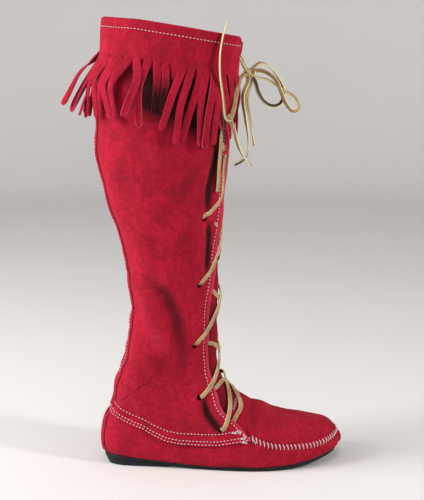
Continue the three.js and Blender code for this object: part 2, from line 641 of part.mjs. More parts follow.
// Band round the collar with the strips of the fringe hanging from it.
function fringeCuffSolid() {
  const band = shell(TRIM_OUTER, TRIM_INNER, { from: COLLAR - 3, to: COLLAR })
    .intersect(behindThroat(0)).intersect(belowCollar(GAP))
    .subtract(belowCollar(-CUFF_DEPTH));
  const strips = [...FRINGE_STRIPS, FRINGE_STRIPS[2], ...FRINGE_STRIPS.slice().reverse()];
  const throatTurn = FRONT_TURN - FRINGE_START;
  const steps = 3;
  const flareCurve = 1.5;
  const solids = strips.map((strip, index) => {
    const side = index < strips.length / 2 ? 1 : -1;
    const across = (index + 1 / 2) / strips.length;
    const start = throatTurn * (1 - 2 * across);
    const rim = legPlace(LEG_TOP, start < 0 ? start + 1 : start, TRIM_INNER).point;
    const root = chart(collarSlope, 'x', 'z', rim.x) - CUFF_DEPTH + STRIP_ROOT;
    const drift = (side * strip.lean * strip.length) / (CALF_DEPTH * Math.PI);
    const places = Array.from({ length: steps + 1 }, (_, step) => {
      const down = step / steps;
      const turn = start - drift * down;
      const flare = strip.flare * down ** flareCurve;
      const grow = TRIM_OUTER + STRIP_LIFT * Math.min(1, down * steps) + flare;
      return legPlace(root - strip.length * down, turn < 0 ? turn + 1 : turn, grow);
    });
    return ribbon(places, STRIP_WIDTH, TRIM_SUEDE);
  });
  return solids.reduce((whole, strip) => whole.add(strip), band);
}

// An eyelet's place on the outer side: a running section number and a turn.
function eyelet(share) {
  const height = share * BOOT_HEIGHT;
  const edge = throatLine.map(([x, z]) => ({ x, z }));
  const from = chart(edge, 'z', 'x', height) - EYELET_SETBACK;
  const place = (value) => lastPoint(sectionAt(height, value), value).x;
  const turn = solve(place, from, SIDE_TURN, FRONT_TURN);
  return { at: sectionAt(height, turn), turn };
}

// The lace's crossings over the tongue, joined where they cross and at the eyelets.
function laceCrossingsSolid() {
  const eyelets = EYELETS.map(eyelet);
  const steps = 5;
  const strands = eyelets.slice(1).flatMap((below, index) => [1, -1].map((side) => {
    const above = eyelets[index];
    const places = Array.from({ length: steps + 1 }, (_, step) => {
      const down = step / steps;
      const from = side > 0 ? above.turn : 1 - above.turn;
      const to = side > 0 ? 1 - below.turn : below.turn;
      const at = above.at + (below.at - above.at) * down;
      const turn = from + (to - from) * down;
      return { point: skinPoint(at, turn, LACE_LAYER), out: lastNormal(at, turn) };
    });
    return ribbon(places, LACE_WIDTH, LACE_THICKNESS);
  }));
  return strands.reduce((whole, strand) => whole.add(strand));
}

// Free lengths of the lace in front of the throat, in millimetres, chosen by hand. All but the
// last run into the knot, and the last starts on the bend of lace_end_up.
const KNOT = [122, -6, 407];
const KNOT_SHAPE = [1, 0.8, 1.1];
const NECKS = {
  lace_neck_outer: [[104, -28, 427], [109.5, -21.5, 426], [113.5, -15, 421], [117, -10, 414], KNOT],
  lace_neck_inner: [[104, 28, 427], [109.5, 21.5, 426], [114, 15, 421], [117.5, 4, 413], KNOT],
};
const LOOPS_AND_ENDS = {
  lace_loop_front: [KNOT, [130, -8, 410], [139, -12, 408], [148, -15, 401], [153, -17, 390],
    [158, -18, 378], [165, -19, 370], [171, -19, 373], [167, -17, 383], [155, -13, 391],
    [141, -11, 400], [130, -10, 403], KNOT],
  lace_loop_back: [KNOT, [127, 0, 413], [134, 5, 417], [144, 9, 412], [152, 11, 402], [158, 13, 388],
    [155, 13, 376], [146, 11, 373], [137, 8, 378], [131, 5, 388], [128, 2, 398], KNOT],
  lace_end_up: [KNOT, [114, -12, 404], [109, -24, 390], [106, -34, 374], [102, -40, 363],
    [97, -43, 366], [95, -45, 384], [92, -47, 408], [92, -48, 428], [95, -44, 446], [98, -38, 458]],
  lace_end_hook: [KNOT, [120, -12, 398], [115, -19, 384], [118, -22, 361], [121, -23, 338],
    [117, -25, 323], [107, -30, 317]],
  lace_end_front: [KNOT, [123, -6, 397], [119, -8, 381], [123, -9, 358], [127, -9, 334]],
};
const SIDE_END = [[100, -42, 367.5], [104.5, -37, 356], [107, -35, 348], [109, -33, 340],
  [114, -31, 328], [123, -30, 315]];

function cordSolid(points, diameter = CORD_DIAMETER) {
  const curve = new THREE.CatmullRomCurve3(points.map((point) => new THREE.Vector3(...point)));
  const sides = 8;
  const ring = Array.from({ length: sides }, (_, i) => {
    const angle = (2 * Math.PI * i) / sides;
    return new THREE.Vector2(Math.cos(angle), Math.sin(angle)).multiplyScalar(diameter / 2);
  });
  const options = { steps: points.length + 1, extrudePath: curve };
  return solidOf(new THREE.ExtrudeGeometry(new THREE.Shape(ring), options));
}

function knotSolid(grow = 0) {
  const knot = new THREE.SphereGeometry(KNOT_SIZE / 2 + grow, 10, 8);
  knot.scale(...KNOT_SHAPE);
  knot.translate(...KNOT);
  return solidOf(knot);
}

// The free laces, each cut off just short of what it runs into.
function freeLaces() {
  const knotRoom = knotSolid(GAP);
  const throatRoom = behindThroat(GAP);
  const bendRoom = cordSolid(LOOPS_AND_ENDS.lace_end_up, CORD_DIAMETER + 2 * GAP);
  const necks = Object.entries(NECKS).map(([name, points]) => (
    [name, cordSolid(points).subtract(knotRoom).subtract(throatRoom)]
  ));
  const ends = Object.entries(LOOPS_AND_ENDS).map(([name, points]) => (
    [name, cordSolid(points).subtract(knotRoom)]
  ));
  return [...necks, ...ends, ['lace_end_side', cordSolid(SIDE_END).subtract(bendRoom)]];
}

const nodes = [
  piece('outsole', outsoleSolid(), RUBBER, MOULDED),
  piece('heel_lift', heelLiftSolid(), RUBBER, MOULDED),
  piece('upper', upperSolid(), RED),
  piece('insole', insoleSolid(), TAN),
  piece('shaft', shaftSolid(), RED),
  piece('tongue', tongueSolid(), DARK_RED),
  piece('back_strap', backStrapSolid(), RED),
  piece('heel_tab', heelTabSolid(), RED),
  piece('fringe_cuff', fringeCuffSolid(), RED),
  piece('lace_crossings', laceCrossingsSolid(), TAN, WAXED),
  piece('lace_knot', knotSolid(), TAN, WAXED),
  ...freeLaces().map(([name, solid]) => piece(name, solid, TAN, WAXED)),
];

const boot = new THREE.Group();
nodes.forEach((node) => boot.add(node));
export default boot;
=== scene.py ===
"""Looks of a red suede moccasin boot, dressed over its solids. Metres, +Z up, toe to +X."""
import math

import bmesh
import bpy
import numpy as np
from mathutils import Matrix, Vector


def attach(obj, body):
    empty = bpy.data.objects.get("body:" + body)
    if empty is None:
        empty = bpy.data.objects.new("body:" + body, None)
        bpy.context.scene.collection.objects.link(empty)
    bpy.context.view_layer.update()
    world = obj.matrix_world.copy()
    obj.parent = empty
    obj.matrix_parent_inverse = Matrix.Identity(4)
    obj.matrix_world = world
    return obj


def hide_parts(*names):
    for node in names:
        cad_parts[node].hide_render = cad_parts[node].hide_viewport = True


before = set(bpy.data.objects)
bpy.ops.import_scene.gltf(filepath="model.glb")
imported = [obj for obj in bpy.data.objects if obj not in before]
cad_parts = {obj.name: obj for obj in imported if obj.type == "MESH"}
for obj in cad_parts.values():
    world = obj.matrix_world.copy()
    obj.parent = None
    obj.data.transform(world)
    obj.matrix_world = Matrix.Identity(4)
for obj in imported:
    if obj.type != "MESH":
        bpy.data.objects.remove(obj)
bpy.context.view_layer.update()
scene = bpy.context.scene

# Camera
# The photo shows the boot in profile from its outer side. The eye is a little over a metre away,
# almost at the collar's height, and looks down by about ten degrees.
EYE = (0.084, -1.335, 0.453)
LOOK_DOWN = math.radians(9.7)
SENSOR_MM = 36.0
FOCAL_MM = 93.9

camera_data = bpy.data.cameras.new("camera")
camera_data.sensor_width = SENSOR_MM
camera_data.lens = FOCAL_MM
camera = bpy.data.objects.new("camera", camera_data)
camera.location = EYE
camera.rotation_euler = (math.pi / 2 - LOOK_DOWN, 0, 0)
scene.collection.objects.link(camera)
scene.camera = camera

# Free lengths of the lace
# One long thong cut from pale oiled leather, flat, with raw cut edges. It leaves the top of the
# throat in two strands and is tied in a bow in front of it, with two loops and long ends.
LACE_WIDTH = 0.0042
LACE_THICKNESS = 0.0018
LACE_STEP = 0.0022
LACE_SIDES = 12
LACE_SECTION_POWER = 0.4
LACE_FACE = "#B59B70"
LACE_FACE_DARK = "#8A6840"
LACE_FLESH = "#3A2618"
LACE_EDGE = "#EBDCA8"
GRAIN_WIDTH = 0.0011
KNOT = (0.122, -0.006, 0.407)
LOOSE_LACES = {
    "lace_neck_outer": [(0.104, -0.028, 0.427), (0.1095, -0.0215, 0.426), (0.1135, -0.015, 0.421),
                        (0.117, -0.010, 0.414), KNOT],
    "lace_neck_inner": [(0.104, 0.028, 0.427), (0.1095, 0.0215, 0.426), (0.114, 0.015, 0.421),
                        (0.1175, 0.004, 0.413), KNOT],
    "lace_loop_front": [KNOT, (0.130, -0.008, 0.410), (0.139, -0.012, 0.408),
                        (0.148, -0.015, 0.401), (0.153, -0.017, 0.390), (0.158, -0.018, 0.378),
                        (0.165, -0.019, 0.370), (0.171, -0.019, 0.373), (0.167, -0.017, 0.383),
                        (0.155, -0.013, 0.391), (0.141, -0.011, 0.400), (0.130, -0.010, 0.403),
                        KNOT],
    "lace_loop_back": [KNOT, (0.127, 0.000, 0.413), (0.134, 0.005, 0.417), (0.144, 0.009, 0.412),
                       (0.152, 0.011, 0.402), (0.158, 0.013, 0.388), (0.155, 0.013, 0.376),
                       (0.146, 0.011, 0.373), (0.137, 0.008, 0.378), (0.131, 0.005, 0.388),
                       (0.128, 0.002, 0.398), KNOT],
    "lace_end_up": [KNOT, (0.114, -0.012, 0.404), (0.109, -0.024, 0.390), (0.106, -0.034, 0.374),
                    (0.102, -0.040, 0.363), (0.097, -0.043, 0.366), (0.095, -0.045, 0.384),
                    (0.092, -0.047, 0.408), (0.092, -0.048, 0.428), (0.095, -0.044, 0.446),
                    (0.098, -0.038, 0.458)],
    "lace_end_hook": [KNOT, (0.120, -0.012, 0.398), (0.115, -0.019, 0.384), (0.118, -0.022, 0.361),
                      (0.121, -0.023, 0.338), (0.117, -0.025, 0.323), (0.107, -0.030, 0.317)],
    "lace_end_front": [KNOT, (0.123, -0.006, 0.397), (0.119, -0.008, 0.381), (0.123, -0.009, 0.358),
                       (0.127, -0.009, 0.334)],
    "lace_end_side": [(0.100, -0.042, 0.3675), (0.1045, -0.037, 0.356), (0.107, -0.035, 0.348),
                      (0.109, -0.033, 0.340), (0.114, -0.031, 0.328), (0.123, -0.030, 0.315)],
}
TWISTS = {"lace_loop_front": 70, "lace_loop_back": -150, "lace_end_up": 50, "lace_end_hook": 120,
          "lace_end_front": -100, "lace_end_side": 110}
FACING_CAMERA = (0.0, -1.0, 0.35)


def srgb(code):
    """A linear colour from an sRGB hex value."""
    parts = [int(code[i:i + 2], 16) / 255 for i in (1, 3, 5)]
    linear = [c / 12.92 if c <= 0.04045 else ((c + 0.055) / 1.055) ** 2.4 for c in parts]
    return (*linear, 1.0)


def node(material, kind, inputs=None, out=None, **settings):
    """Adds a node with its settings, and returns it or one of its outputs. Inputs are values, hex
    colours, or sockets of other nodes to link."""
    tree = material.node_tree
    made = tree.nodes.new("ShaderNode" + kind)
    for name, value in settings.items():
        setattr(made, name, value)
    for name, value in (inputs or {}).items():
        if isinstance(value, bpy.types.NodeSocket):
            tree.links.new(value, made.inputs[name])
        else:
            made.inputs[name].default_value = srgb(value) if isinstance(value, str) else value
    return made if out is None else made.outputs[out]


def material_of(name):
    """An empty material and its output node."""
    material = bpy.data.materials.new(name)
    material.use_nodes = True
    material.node_tree.nodes.clear()
    return material, node(material, "OutputMaterial")


# Oiled thong leather, skived and waxed. Its faces are tan with a fine grain and soft gloss, and its
# raw cut edges show as pale lines.
def thong_leather():
    """Oiled tan leather with a dark flesh side and pale cut edges."""
    material, output = material_of("oiled_thong_leather")
    place = node(material, "TexCoord", out="Object")
    cut = node(material, "UVMap", out="UV", uv_map="cut")
    around = node(material, "SeparateXYZ", {0: cut}, "X")
    wave = node(material, "Math", {0: around, 1: 4 * math.pi}, 0, operation="MULTIPLY")
    edge = node(material, "Math", {0: wave}, 0, operation="COSINE")
    grain = node(material, "TexNoise", {"Vector": place, "Scale": 1 / GRAIN_WIDTH, "Detail": 4.0},
                 "Fac")
    blotch = node(material, "TexNoise", {"Vector": place, "Scale": 1 / 0.012, "Detail": 3.0}, "Fac")
    share = node(material, "MapRange", {"Value": blotch, "From Min": 0.35, "From Max": 0.7}, 0)
    face = node(material, "Mix", {0: share, 6: LACE_FACE, 7: LACE_FACE_DARK}, 2, data_type="RGBA")
    speckled = node(material, "Math", {0: around, 1: grain}, 0, operation="ADD")
    under = node(material, "MapRange", {"Value": speckled, "From Min": 0.98, "From Max": 1.02}, 0)
    face = node(material, "Mix", {0: under, 6: face, 7: LACE_FLESH}, 2, data_type="RGBA")
    soft = node(material, "Math", {0: edge, 1: grain}, 0, operation="ADD")
    share = node(material, "MapRange", {"Value": soft, "From Min": 0.35, "From Max": 0.95}, 0)
    colour = node(material, "Mix", {0: share, 6: face, 7: LACE_EDGE}, 2, data_type="RGBA")
    bump = node(material, "Bump", {"Strength": 0.5, "Distance": 0.0003, "Height": grain})
    skin = node(material, "BsdfPrincipled", {
        "Base Color": colour, "Roughness": 0.48, "IOR": 1.48, "Coat Weight": 0.12,
        "Coat Roughness": 0.35, "Normal": bump.outputs[0]})
    node_link(material, skin, output)
    return material


def node_link(material, shader, output):
    """Joins a shader to the material's surface."""
    material.node_tree.links.new(shader.outputs[0], output.inputs["Surface"])


def spline(points, step):
    """A smooth line through points, sampled about a step apart."""
    knots = np.array(points, float)
    padded = np.vstack([2 * knots[0] - knots[1], knots, 2 * knots[-1] - knots[-2]])
    t = np.linspace(0, 1, 24, endpoint=False)[:, None]
    runs = []
    for a, b, c, d in zip(padded, padded[1:], padded[2:], padded[3:]):
        bend = 2 * a - 5 * b + 4 * c - d + t * (3 * (b - c) + d - a)
        runs.append(b + 0.5 * t * (c - a + t * bend))
    line = np.vstack(runs + [knots[-1:]])
    length = np.concatenate([[0], np.cumsum(np.linalg.norm(np.diff(line, axis=0), axis=1))])
    count = max(2, int(round(length[-1] / step)))
    places = np.linspace(0, length[-1], count + 1)
    return np.stack([np.interp(places, length, line[:, i]) for i in range(line.shape[1])], axis=1)


def unit(vectors):
    """Vectors scaled to a length of 1."""
    return vectors / np.maximum(np.linalg.norm(vectors, axis=-1, keepdims=True), 1e-9)


def carried(line, start, twist=0.0):
    """Directions square to a line that turn as little as they can along it, then twist evenly."""
    travel = unit(np.gradient(line, axis=0))
    facing = []
    last = np.array(start, float)
    for direction in travel:
        last = last - direction * last.dot(direction)
        last = last / max(np.linalg.norm(last), 1e-9)
        facing.append(last)
    facing = np.array(facing)
    turn = np.radians(twist) * np.linspace(0, 1, len(line))[:, None]
    return facing * np.cos(turn) + np.cross(travel, facing) * np.sin(turn)


def panel(name, columns, rows, places, closed=False, facing=None):
    """A grid of columns by rows for each place, joined in one mesh. place(u, v), with u and v from
    0 to 1, gives points and their shades. facing, a function of points, says which way is out."""
    grid = bmesh.new()
    layer = grid.loops.layers.uv.new("cut")
    tone = grid.verts.layers.float.new("shade")
    for place in places:
        made = bmesh.ops.create_grid(grid, x_segments=columns, y_segments=rows, size=0.5)["verts"]
        flat = np.array([vertex.co[:2] for vertex in made]) + 0.5
        faces = list({face for vertex in made for face in vertex.link_faces})
        for face in faces:
            for loop in face.loops:
                loop[layer].uv = (loop.vert.co.x + 0.5, loop.vert.co.y + 0.5)
        points, shades = place(flat[:, 0], flat[:, 1])
        for vertex, point, shade in zip(made, points, shades):
            vertex.co = point
            vertex[tone] = shade
        if facing is not None:
            for face in faces:
                face.normal_update()
            out = facing(np.array([face.calc_center_median()[:] for face in faces]))
            if float((out * np.array([face.normal[:] for face in faces])).sum()) < 0:
                bmesh.ops.reverse_faces(grid, faces=faces)
    bmesh.ops.remove_doubles(grid, verts=grid.verts, dist=1e-6)
    if closed:
        edges = [edge for edge in grid.edges if edge.is_boundary]
        bmesh.ops.holes_fill(grid, edges=edges)
        bmesh.ops.recalc_face_normals(grid, faces=grid.faces)
    mesh = bpy.data.meshes.new(name)
    grid.to_mesh(mesh)
    grid.free()
    mesh.shade_smooth()
    return place_mesh(name, mesh)


def place_mesh(name, mesh):
    """An object for a mesh, linked to the scene."""
    made = bpy.data.objects.new(name, mesh)
    scene.collection.objects.link(made)
    return made


def dress(piece, slot, *materials, replaced=()):
    """Gives a piece its materials and lets it ride on the boot. The slot is not used."""
    for material in materials:
        piece.data.materials.append(material)
    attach(piece, "root")
    if replaced:
        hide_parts(*replaced)
    return piece


def thong(name, line, facing):
    """A flat lace along a line of points, its face turned to the facing directions."""
    travel = unit(np.gradient(line, axis=0))
    out = unit(facing - travel * (facing * travel).sum(axis=1, keepdims=True))
    across = np.cross(travel, out)
    steps = np.linspace(0, 1, len(line))

    def place(u, v):
        angle = 2 * np.pi * u
        wide = np.sign(np.cos(angle)) * np.abs(np.cos(angle)) ** LACE_SECTION_POWER * LACE_WIDTH / 2
        high = np.sign(np.sin(angle)) * np.abs(np.sin(angle)) ** LACE_SECTION_POWER
        high = high * LACE_THICKNESS / 2

        def at(values):
            return np.stack([np.interp(v, steps, values[:, i]) for i in range(3)], axis=1)

        return at(line) + at(across) * wide[:, None] + at(out) * high[:, None], 0 * u

    return panel(name, LACE_SIDES, len(line) - 1, [place], closed=True)


lace_leather = thong_leather()


def tie_knot():
    """The bow's knot: a thong drawn tight through itself."""
    turn = np.linspace(0, 2 * np.pi, 61)
    line = np.stack([np.sin(turn) + 2 * np.sin(2 * turn), np.cos(turn) - 2 * np.cos(2 * turn),
                     -np.sin(3 * turn)], axis=1)
    size = np.array([0.0017, 0.0019, 0.0026])
    line = (line * size)[:, [0, 2, 1]] + np.array(KNOT)
    knot = thong("bow_knot", line, carried(line, FACING_CAMERA))
    return dress(knot, "lace_leather", lace_leather, replaced=["lace_knot"])


bow_knot = tie_knot()
for lace_name, route in LOOSE_LACES.items():
    lace_line = spline(route, LACE_STEP)
    lace_facing = carried(lace_line, FACING_CAMERA, TWISTS.get(lace_name, 0))
    lace = thong(lace_name.replace("lace", "thong"), lace_line, lace_facing)
    dress(lace, "lace_leather", lace_leather, replaced=[lace_name])

# Rubber sole
# The outsole and the low wedge under the heel are moulded in one black rubber, thin all round, with
# a lightly rounded edge that picks up dust from the floor.
RUBBER = "#0B0D13"
RUBBER_WORN = "#191C25"
RUBBER_DUST = "#36332F"
RUBBER_EDGE = 0.0006


def moulded_rubber():
    """Black rubber, rubbed and dusty low down."""
    material, output = material_of("moulded_black_rubber")
    place = node(material, "TexCoord", out="Object")
    height = node(material, "SeparateXYZ", {0: place}, "Z")
    pores = node(material, "TexNoise", {"Vector": place, "Scale": 1 / 0.0008, "Detail": 3.0}, "Fac")
    rubbed = node(material, "TexNoise", {"Vector": place, "Scale": 1 / 0.009, "Detail": 5.0,
                                         "Roughness": 0.6}, "Fac")
    share = node(material, "MapRange", {"Value": rubbed, "From Min": 0.45, "From Max": 0.75}, 0)
    colour = node(material, "Mix", {0: share, 6: RUBBER, 7: RUBBER_WORN}, 2, data_type="RGBA")
    share = node(material, "MapRange", {"Value": height, "From Min": 0.0035, "From Max": 0.0}, 0)
    low = node(material, "Math", {0: share, 1: rubbed}, 0, operation="MULTIPLY")
    share = node(material, "MapRange", {"Value": low, "From Min": 0.25, "From Max": 0.9}, 0)
    colour = node(material, "Mix", {0: share, 6: colour, 7: RUBBER_DUST}, 2, data_type="RGBA")
    bump = node(material, "Bump", {"Strength": 0.3, "Distance": 0.0002, "Height": pores})
    rubber = node(material, "BsdfPrincipled", {
        "Base Color": colour, "Roughness": 0.55, "IOR": 1.52, "Specular IOR Level": 0.3,
        "Normal": bump.outputs[0]})
    node_link(material, rubber, output)
    return material


def rounded_copy(name, cad_name, width):
    """A copy of a solid with its flat faces whole and its sharp edges rounded."""
    body = bmesh.new()
    body.from_mesh(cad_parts[cad_name].data)
    bmesh.ops.remove_doubles(body, verts=body.verts, dist=1e-6)
    bmesh.ops.recalc_face_normals(body, faces=body.faces)
    bmesh.ops.dissolve_limit(body, angle_limit=math.radians(0.5), verts=body.verts,
                             edges=body.edges)
    sharp = [edge for edge in body.edges
             if len(edge.link_faces) == 2 and edge.calc_face_angle() > math.radians(35)]
    bmesh.ops.bevel(body, geom=sharp, offset=width, segments=3, profile=0.5, affect="EDGES",
                    material=-1, clamp_overlap=True)
    mesh = bpy.data.meshes.new(name)
    body.to_mesh(mesh)
    body.free()
    mesh.shade_smooth()
    made = place_mesh(name, mesh)
    mesh.set_sharp_from_angle(angle=math.radians(40))
    return made


sole_rubber = moulded_rubber()
dress(rounded_copy("rubber_outsole", "outsole", RUBBER_EDGE), "sole_rubber", sole_rubber,
      replaced=["outsole"])
dress(rounded_copy("rubber_heel", "heel_lift", RUBBER_EDGE), "sole_rubber", sole_rubber,
      replaced=["heel_lift"])

# Insole
# A board covered in smooth tan sheepskin lies over the turned-in margin of the foot part. Its edge
# is rolled, and the foot has left it darker in the middle.
INSOLE_SKIN = "#C69A63"
INSOLE_WORN = "#8E6236"
INSOLE_EDGE = 0.0008


def lining_leather():
    """Smooth sheepskin, darker where the foot has worn it."""
    material, output = material_of("sheepskin_lining_leather")
    place = node(material, "TexCoord", out="Object")
    pores = node(material, "TexNoise", {"Vector": place, "Scale": 1 / 0.0009, "Detail": 4.0}, "Fac")
    edge_tone = node(material, "TexNoise", {"Vector": place, "Scale": 1 / 0.04, "Detail": 3.0}, "Fac")
    share = node(material, "MapRange", {"Value": edge_tone, "From Min": 0.4, "From Max": 0.65}, 0)
    colour = node(material, "Mix", {0: share, 6: INSOLE_SKIN, 7: INSOLE_WORN}, 2, data_type="RGBA")
    bump = node(material, "Bump", {"Strength": 0.4, "Distance": 0.0003, "Height": pores})
    skin = node(material, "BsdfPrincipled", {
        "Base Color": colour, "Roughness": 0.6, "IOR": 1.45, "Normal": bump.outputs[0]})
    node_link(material, skin, output)
    return material


dress(rounded_copy("leather_insole", "insole", INSOLE_EDGE), "insole_leather", lining_leather(),
      replaced=["insole"])

# Foot part
# A moccasin in red suede. Its sides wrap up from under the foot and are gathered into a raised seam
# round the vamp, where the plug is whipped on with thick cotton. The last gives it its shape.
FOOT_LENGTH = 0.252
BALL_WIDTH = 0.098
INSTEP_HEIGHT = 0.072
BOOT_HEIGHT = 0.464
CALF_DEPTH = 0.143
CALF_WIDTH = 0.104
LEG_HEIGHT = BOOT_HEIGHT - INSTEP_HEIGHT
TREAD_CENTRE = 0.032
SOLE_THICKNESS = 0.0042
HEEL_RISE = 0.0072
TOE_SPRING = 0.0095
LAYER_GAP = 0.00035
SUEDE = 0.0016
LAP = 0.012

# Sections of the last, from the toe round the heel and up the leg. Each is a plane across the boot.
# Columns: back x, back z, top x, top z, swing, outer width, inner width, level of the widest
# point, roundness below it and above it.
FOOT_SECTIONS = [
    (0.998, 0.18, 0.997, 0.34, 0.195, 0.115, 0.110, 0.45, 2.2, 2.2),
    (0.987, 0.08, 0.982, 0.435, 0.187, 0.205, 0.195, 0.42, 2.4, 2.3),
    (0.962, 0.02, 0.953, 0.53, 0.172, 0.290, 0.280, 0.40, 2.9, 2.2),
    (0.928, 0.00, 0.910, 0.585, 0.145, 0.370, 0.360, 0.38, 3.4, 2.1),
    (0.862, -0.04, 0.836, 0.64, 0.102, 0.445, 0.440, 0.37, 3.8, 2.0),
    (0.780, -0.07, 0.752, 0.705, 0.056, 0.480, 0.470, 0.36, 4.0, 2.0),
    (0.674, -0.08, 0.666, 0.84, 0.010, 0.490, 0.480, 0.35, 4.0, 2.0),
    (0.575, -0.08, 0.583, 0.986, -0.010, 0.470, 0.440, 0.33, 4.0, 2.0),
    (0.450, -0.08, 0.520, 1.139, -0.020, 0.435, 0.370, 0.32, 3.9, 2.1),
    (0.325, -0.06, 0.496, 1.333, -0.015, 0.400, 0.340, 0.32, 3.7, 2.15),
    (0.185, -0.03, 0.482, 1.528, -0.010, 0.375, 0.335, 0.34, 3.4, 2.15),
    (0.070, 0.03, 0.480, 1.667, 0, 0.355, 0.335, 0.38, 3.1, 2.1),
    (0.012, 0.16, 0.480, 1.819, 0, 0.345, 0.335, 0.41, 2.8, 2.1),
    (0.000, 0.38, 0.482, 1.972, 0, 0.340, 0.335, 0.43, 2.6, 2.05),
    (0.009, 0.62, 0.484, 2.111, 0, 0.340, 0.335, 0.44, 2.5, 2.05),
]
LEG_SECTIONS = [
    (0.070, -0.036, 0.853, 0.230, 0, 0.325, 0.318, 0.44, 2.4, 2.0),
    (0.115, 0.020, 0.853, 0.258, 0, 0.328, 0.320, 0.44, 2.35, 2.0),
    (0.170, 0.082, 0.853, 0.287, 0, 0.332, 0.322, 0.44, 2.3, 2.0),
    (0.210, 0.138, 0.853, 0.316, 0, 0.336, 0.326, 0.44, 2.25, 2.0),
    (0.234, 0.200, 0.853, 0.350, 0, 0.342, 0.332, 0.44, 2.2, 2.0),
    (0.234, 0.270, 0.857, 0.388, 0, 0.356, 0.346, 0.44, 2.2, 2.0),
    (0.208, 0.350, 0.864, 0.437, 0, 0.385, 0.375, 0.44, 2.15, 2.0),
    (0.154, 0.436, 0.874, 0.492, 0, 0.420, 0.410, 0.45, 2.1, 2.0),
    (0.062, 0.538, 0.893, 0.570, 0, 0.455, 0.445, 0.45, 2.1, 2.0),
    (0.008, 0.628, 0.913, 0.640, 0, 0.480, 0.470, 0.45, 2.1, 2.0),
    (0.000, 0.712, 0.936, 0.710, 0, 0.490, 0.485, 0.45, 2.1, 2.0),
    (0.020, 0.824, 0.975, 0.806, 0, 0.497, 0.490, 0.45, 2.1, 2.0),
    (0.040, 0.915, 1.010, 0.888, 0, 0.500, 0.493, 0.45, 2.1, 2.0),
    (0.060, 1.010, 1.045, 0.962, 0, 0.502, 0.495, 0.45, 2.1, 2.0),
]
FOOT_SIZES = ((FOOT_LENGTH, INSTEP_HEIGHT, FOOT_LENGTH, INSTEP_HEIGHT) + 3 * (BALL_WIDTH,)
              + (1, 1, 1))
LEG_SIZES = (CALF_DEPTH, LEG_HEIGHT, CALF_DEPTH, LEG_HEIGHT, 1, CALF_WIDTH, CALF_WIDTH, 1, 1, 1)
sections = np.vstack([np.multiply(FOOT_SECTIONS, FOOT_SIZES), np.multiply(LEG_SECTIONS, LEG_SIZES)])
sections[len(FOOT_SECTIONS):, [1, 3]] += INSTEP_HEIGHT
sections[:, [0, 2]] -= TREAD_CENTRE
COLLAR_ROW = len(sections) - 1
INSTEP_ROW = 6
TOE_BULGE = 0.0035
TOE_TIP = -0.985

# Heights over shares of the foot's length
SOLE_RISE = [(-0.10, 1.00, 0), (0.06, 0.94, 0), (0.266, 0.46, 0), (0.35, 0.16, 0), (0.43, 0, 0),
             (0.69, 0, 0), (0.79, 0, 0.15), (0.89, 0, 0.52), (0.99, 0, 1.00), (1.10, 0, 1.50)]
LAP_EDGE = [(-0.06, 0.84), (0.020, 0.82), (0.075, 0.73), (0.125, 0.65), (0.180, 0.575),
             (0.215, 0.500), (0.275, 0.410), (0.330, 0.380), (0.420, 0.370), (0.492, 0.382),
             (0.575, 0.430), (0.619, 0.458)]
THROAT_FOOT = [(0.619, 0.458), (0.567, 0.67), (0.530, 0.75), (0.507, 0.83), (0.490, 0.92),
             (0.476, 1.08), (0.458, 1.22), (0.443, 1.44), (0.437, 1.71)]
THROAT_LEG = [(0.778, 0.190), (0.786, 0.250), (0.800, 0.300), (0.836, 0.400), (0.860, 0.454),
             (0.909, 0.663), (0.945, 0.790), (0.985, 0.910), (1.005, 1.050)]
COLLAR_LINE = [(-0.40, 1.004), (0.05, 0.998), (0.30, 0.990), (0.60, 0.972), (1.04, 0.944),
             (1.40, 0.925)]
VAMP_SEAM = [(0.52, 0.72), (0.567, 0.63), (0.627, 0.49), (0.659, 0.43), (0.702, 0.375),
             (0.746, 0.347), (0.829, 0.325), (0.873, 0.322), (0.917, 0.335), (0.952, 0.360),
             (0.976, 0.385), (1.02, 0.42)]
TONGUE_JOINT = [(0.515, 0.66), (0.580, 1.10)]
SEAM_START = 0.627


def foot_line(rows):
    return np.array([(a * FOOT_LENGTH - TREAD_CENTRE, u * INSTEP_HEIGHT) for a, u in rows])


def leg_line(rows):
    return np.array([(a * CALF_DEPTH - TREAD_CENTRE, INSTEP_HEIGHT + u * LEG_HEIGHT)
                     for a, u in rows])


lap_line = foot_line(LAP_EDGE)
throat_line = np.vstack([foot_line(THROAT_FOOT), leg_line(THROAT_LEG)])
collar_line = np.array([(a * CALF_DEPTH - TREAD_CENTRE, u * BOOT_HEIGHT) for a, u in COLLAR_LINE])
seam_line = foot_line(VAMP_SEAM)
joint_line = foot_line(TONGUE_JOINT)


def height_on(line, x):
    """Height of a side-view line at places along the boot."""
    return np.interp(x, line[:, 0], line[:, 1])


def throat_x(z):
    return np.interp(z, throat_line[:, 1], throat_line[:, 0])


def seat(x):
    """Height on which the suede sits on the sole."""
    along, heel, toe = np.array(SOLE_RISE).T
    share = (x + TREAD_CENTRE) / FOOT_LENGTH
    rise = np.interp(share, along, heel) * HEEL_RISE + np.interp(share, along, toe) * TOE_SPRING
    return rise + SOLE_THICKNESS + LAYER_GAP


def section_at(at):
    """Sizes of the last's section at running row numbers, on a smooth curve through the rows."""
    place = np.clip(at, 0, COLLAR_ROW)
    index = np.minimum(place.astype(int), COLLAR_ROW - 1)
    t = (place - index)[..., None]
    a, b, c, d = (sections[np.clip(index + k, 0, COLLAR_ROW)] for k in (-1, 0, 1, 2))
    return b + 0.5 * t * (c - a + t * (2 * a - 5 * b + 4 * c - d + t * (3 * (b - c) + d - a)))


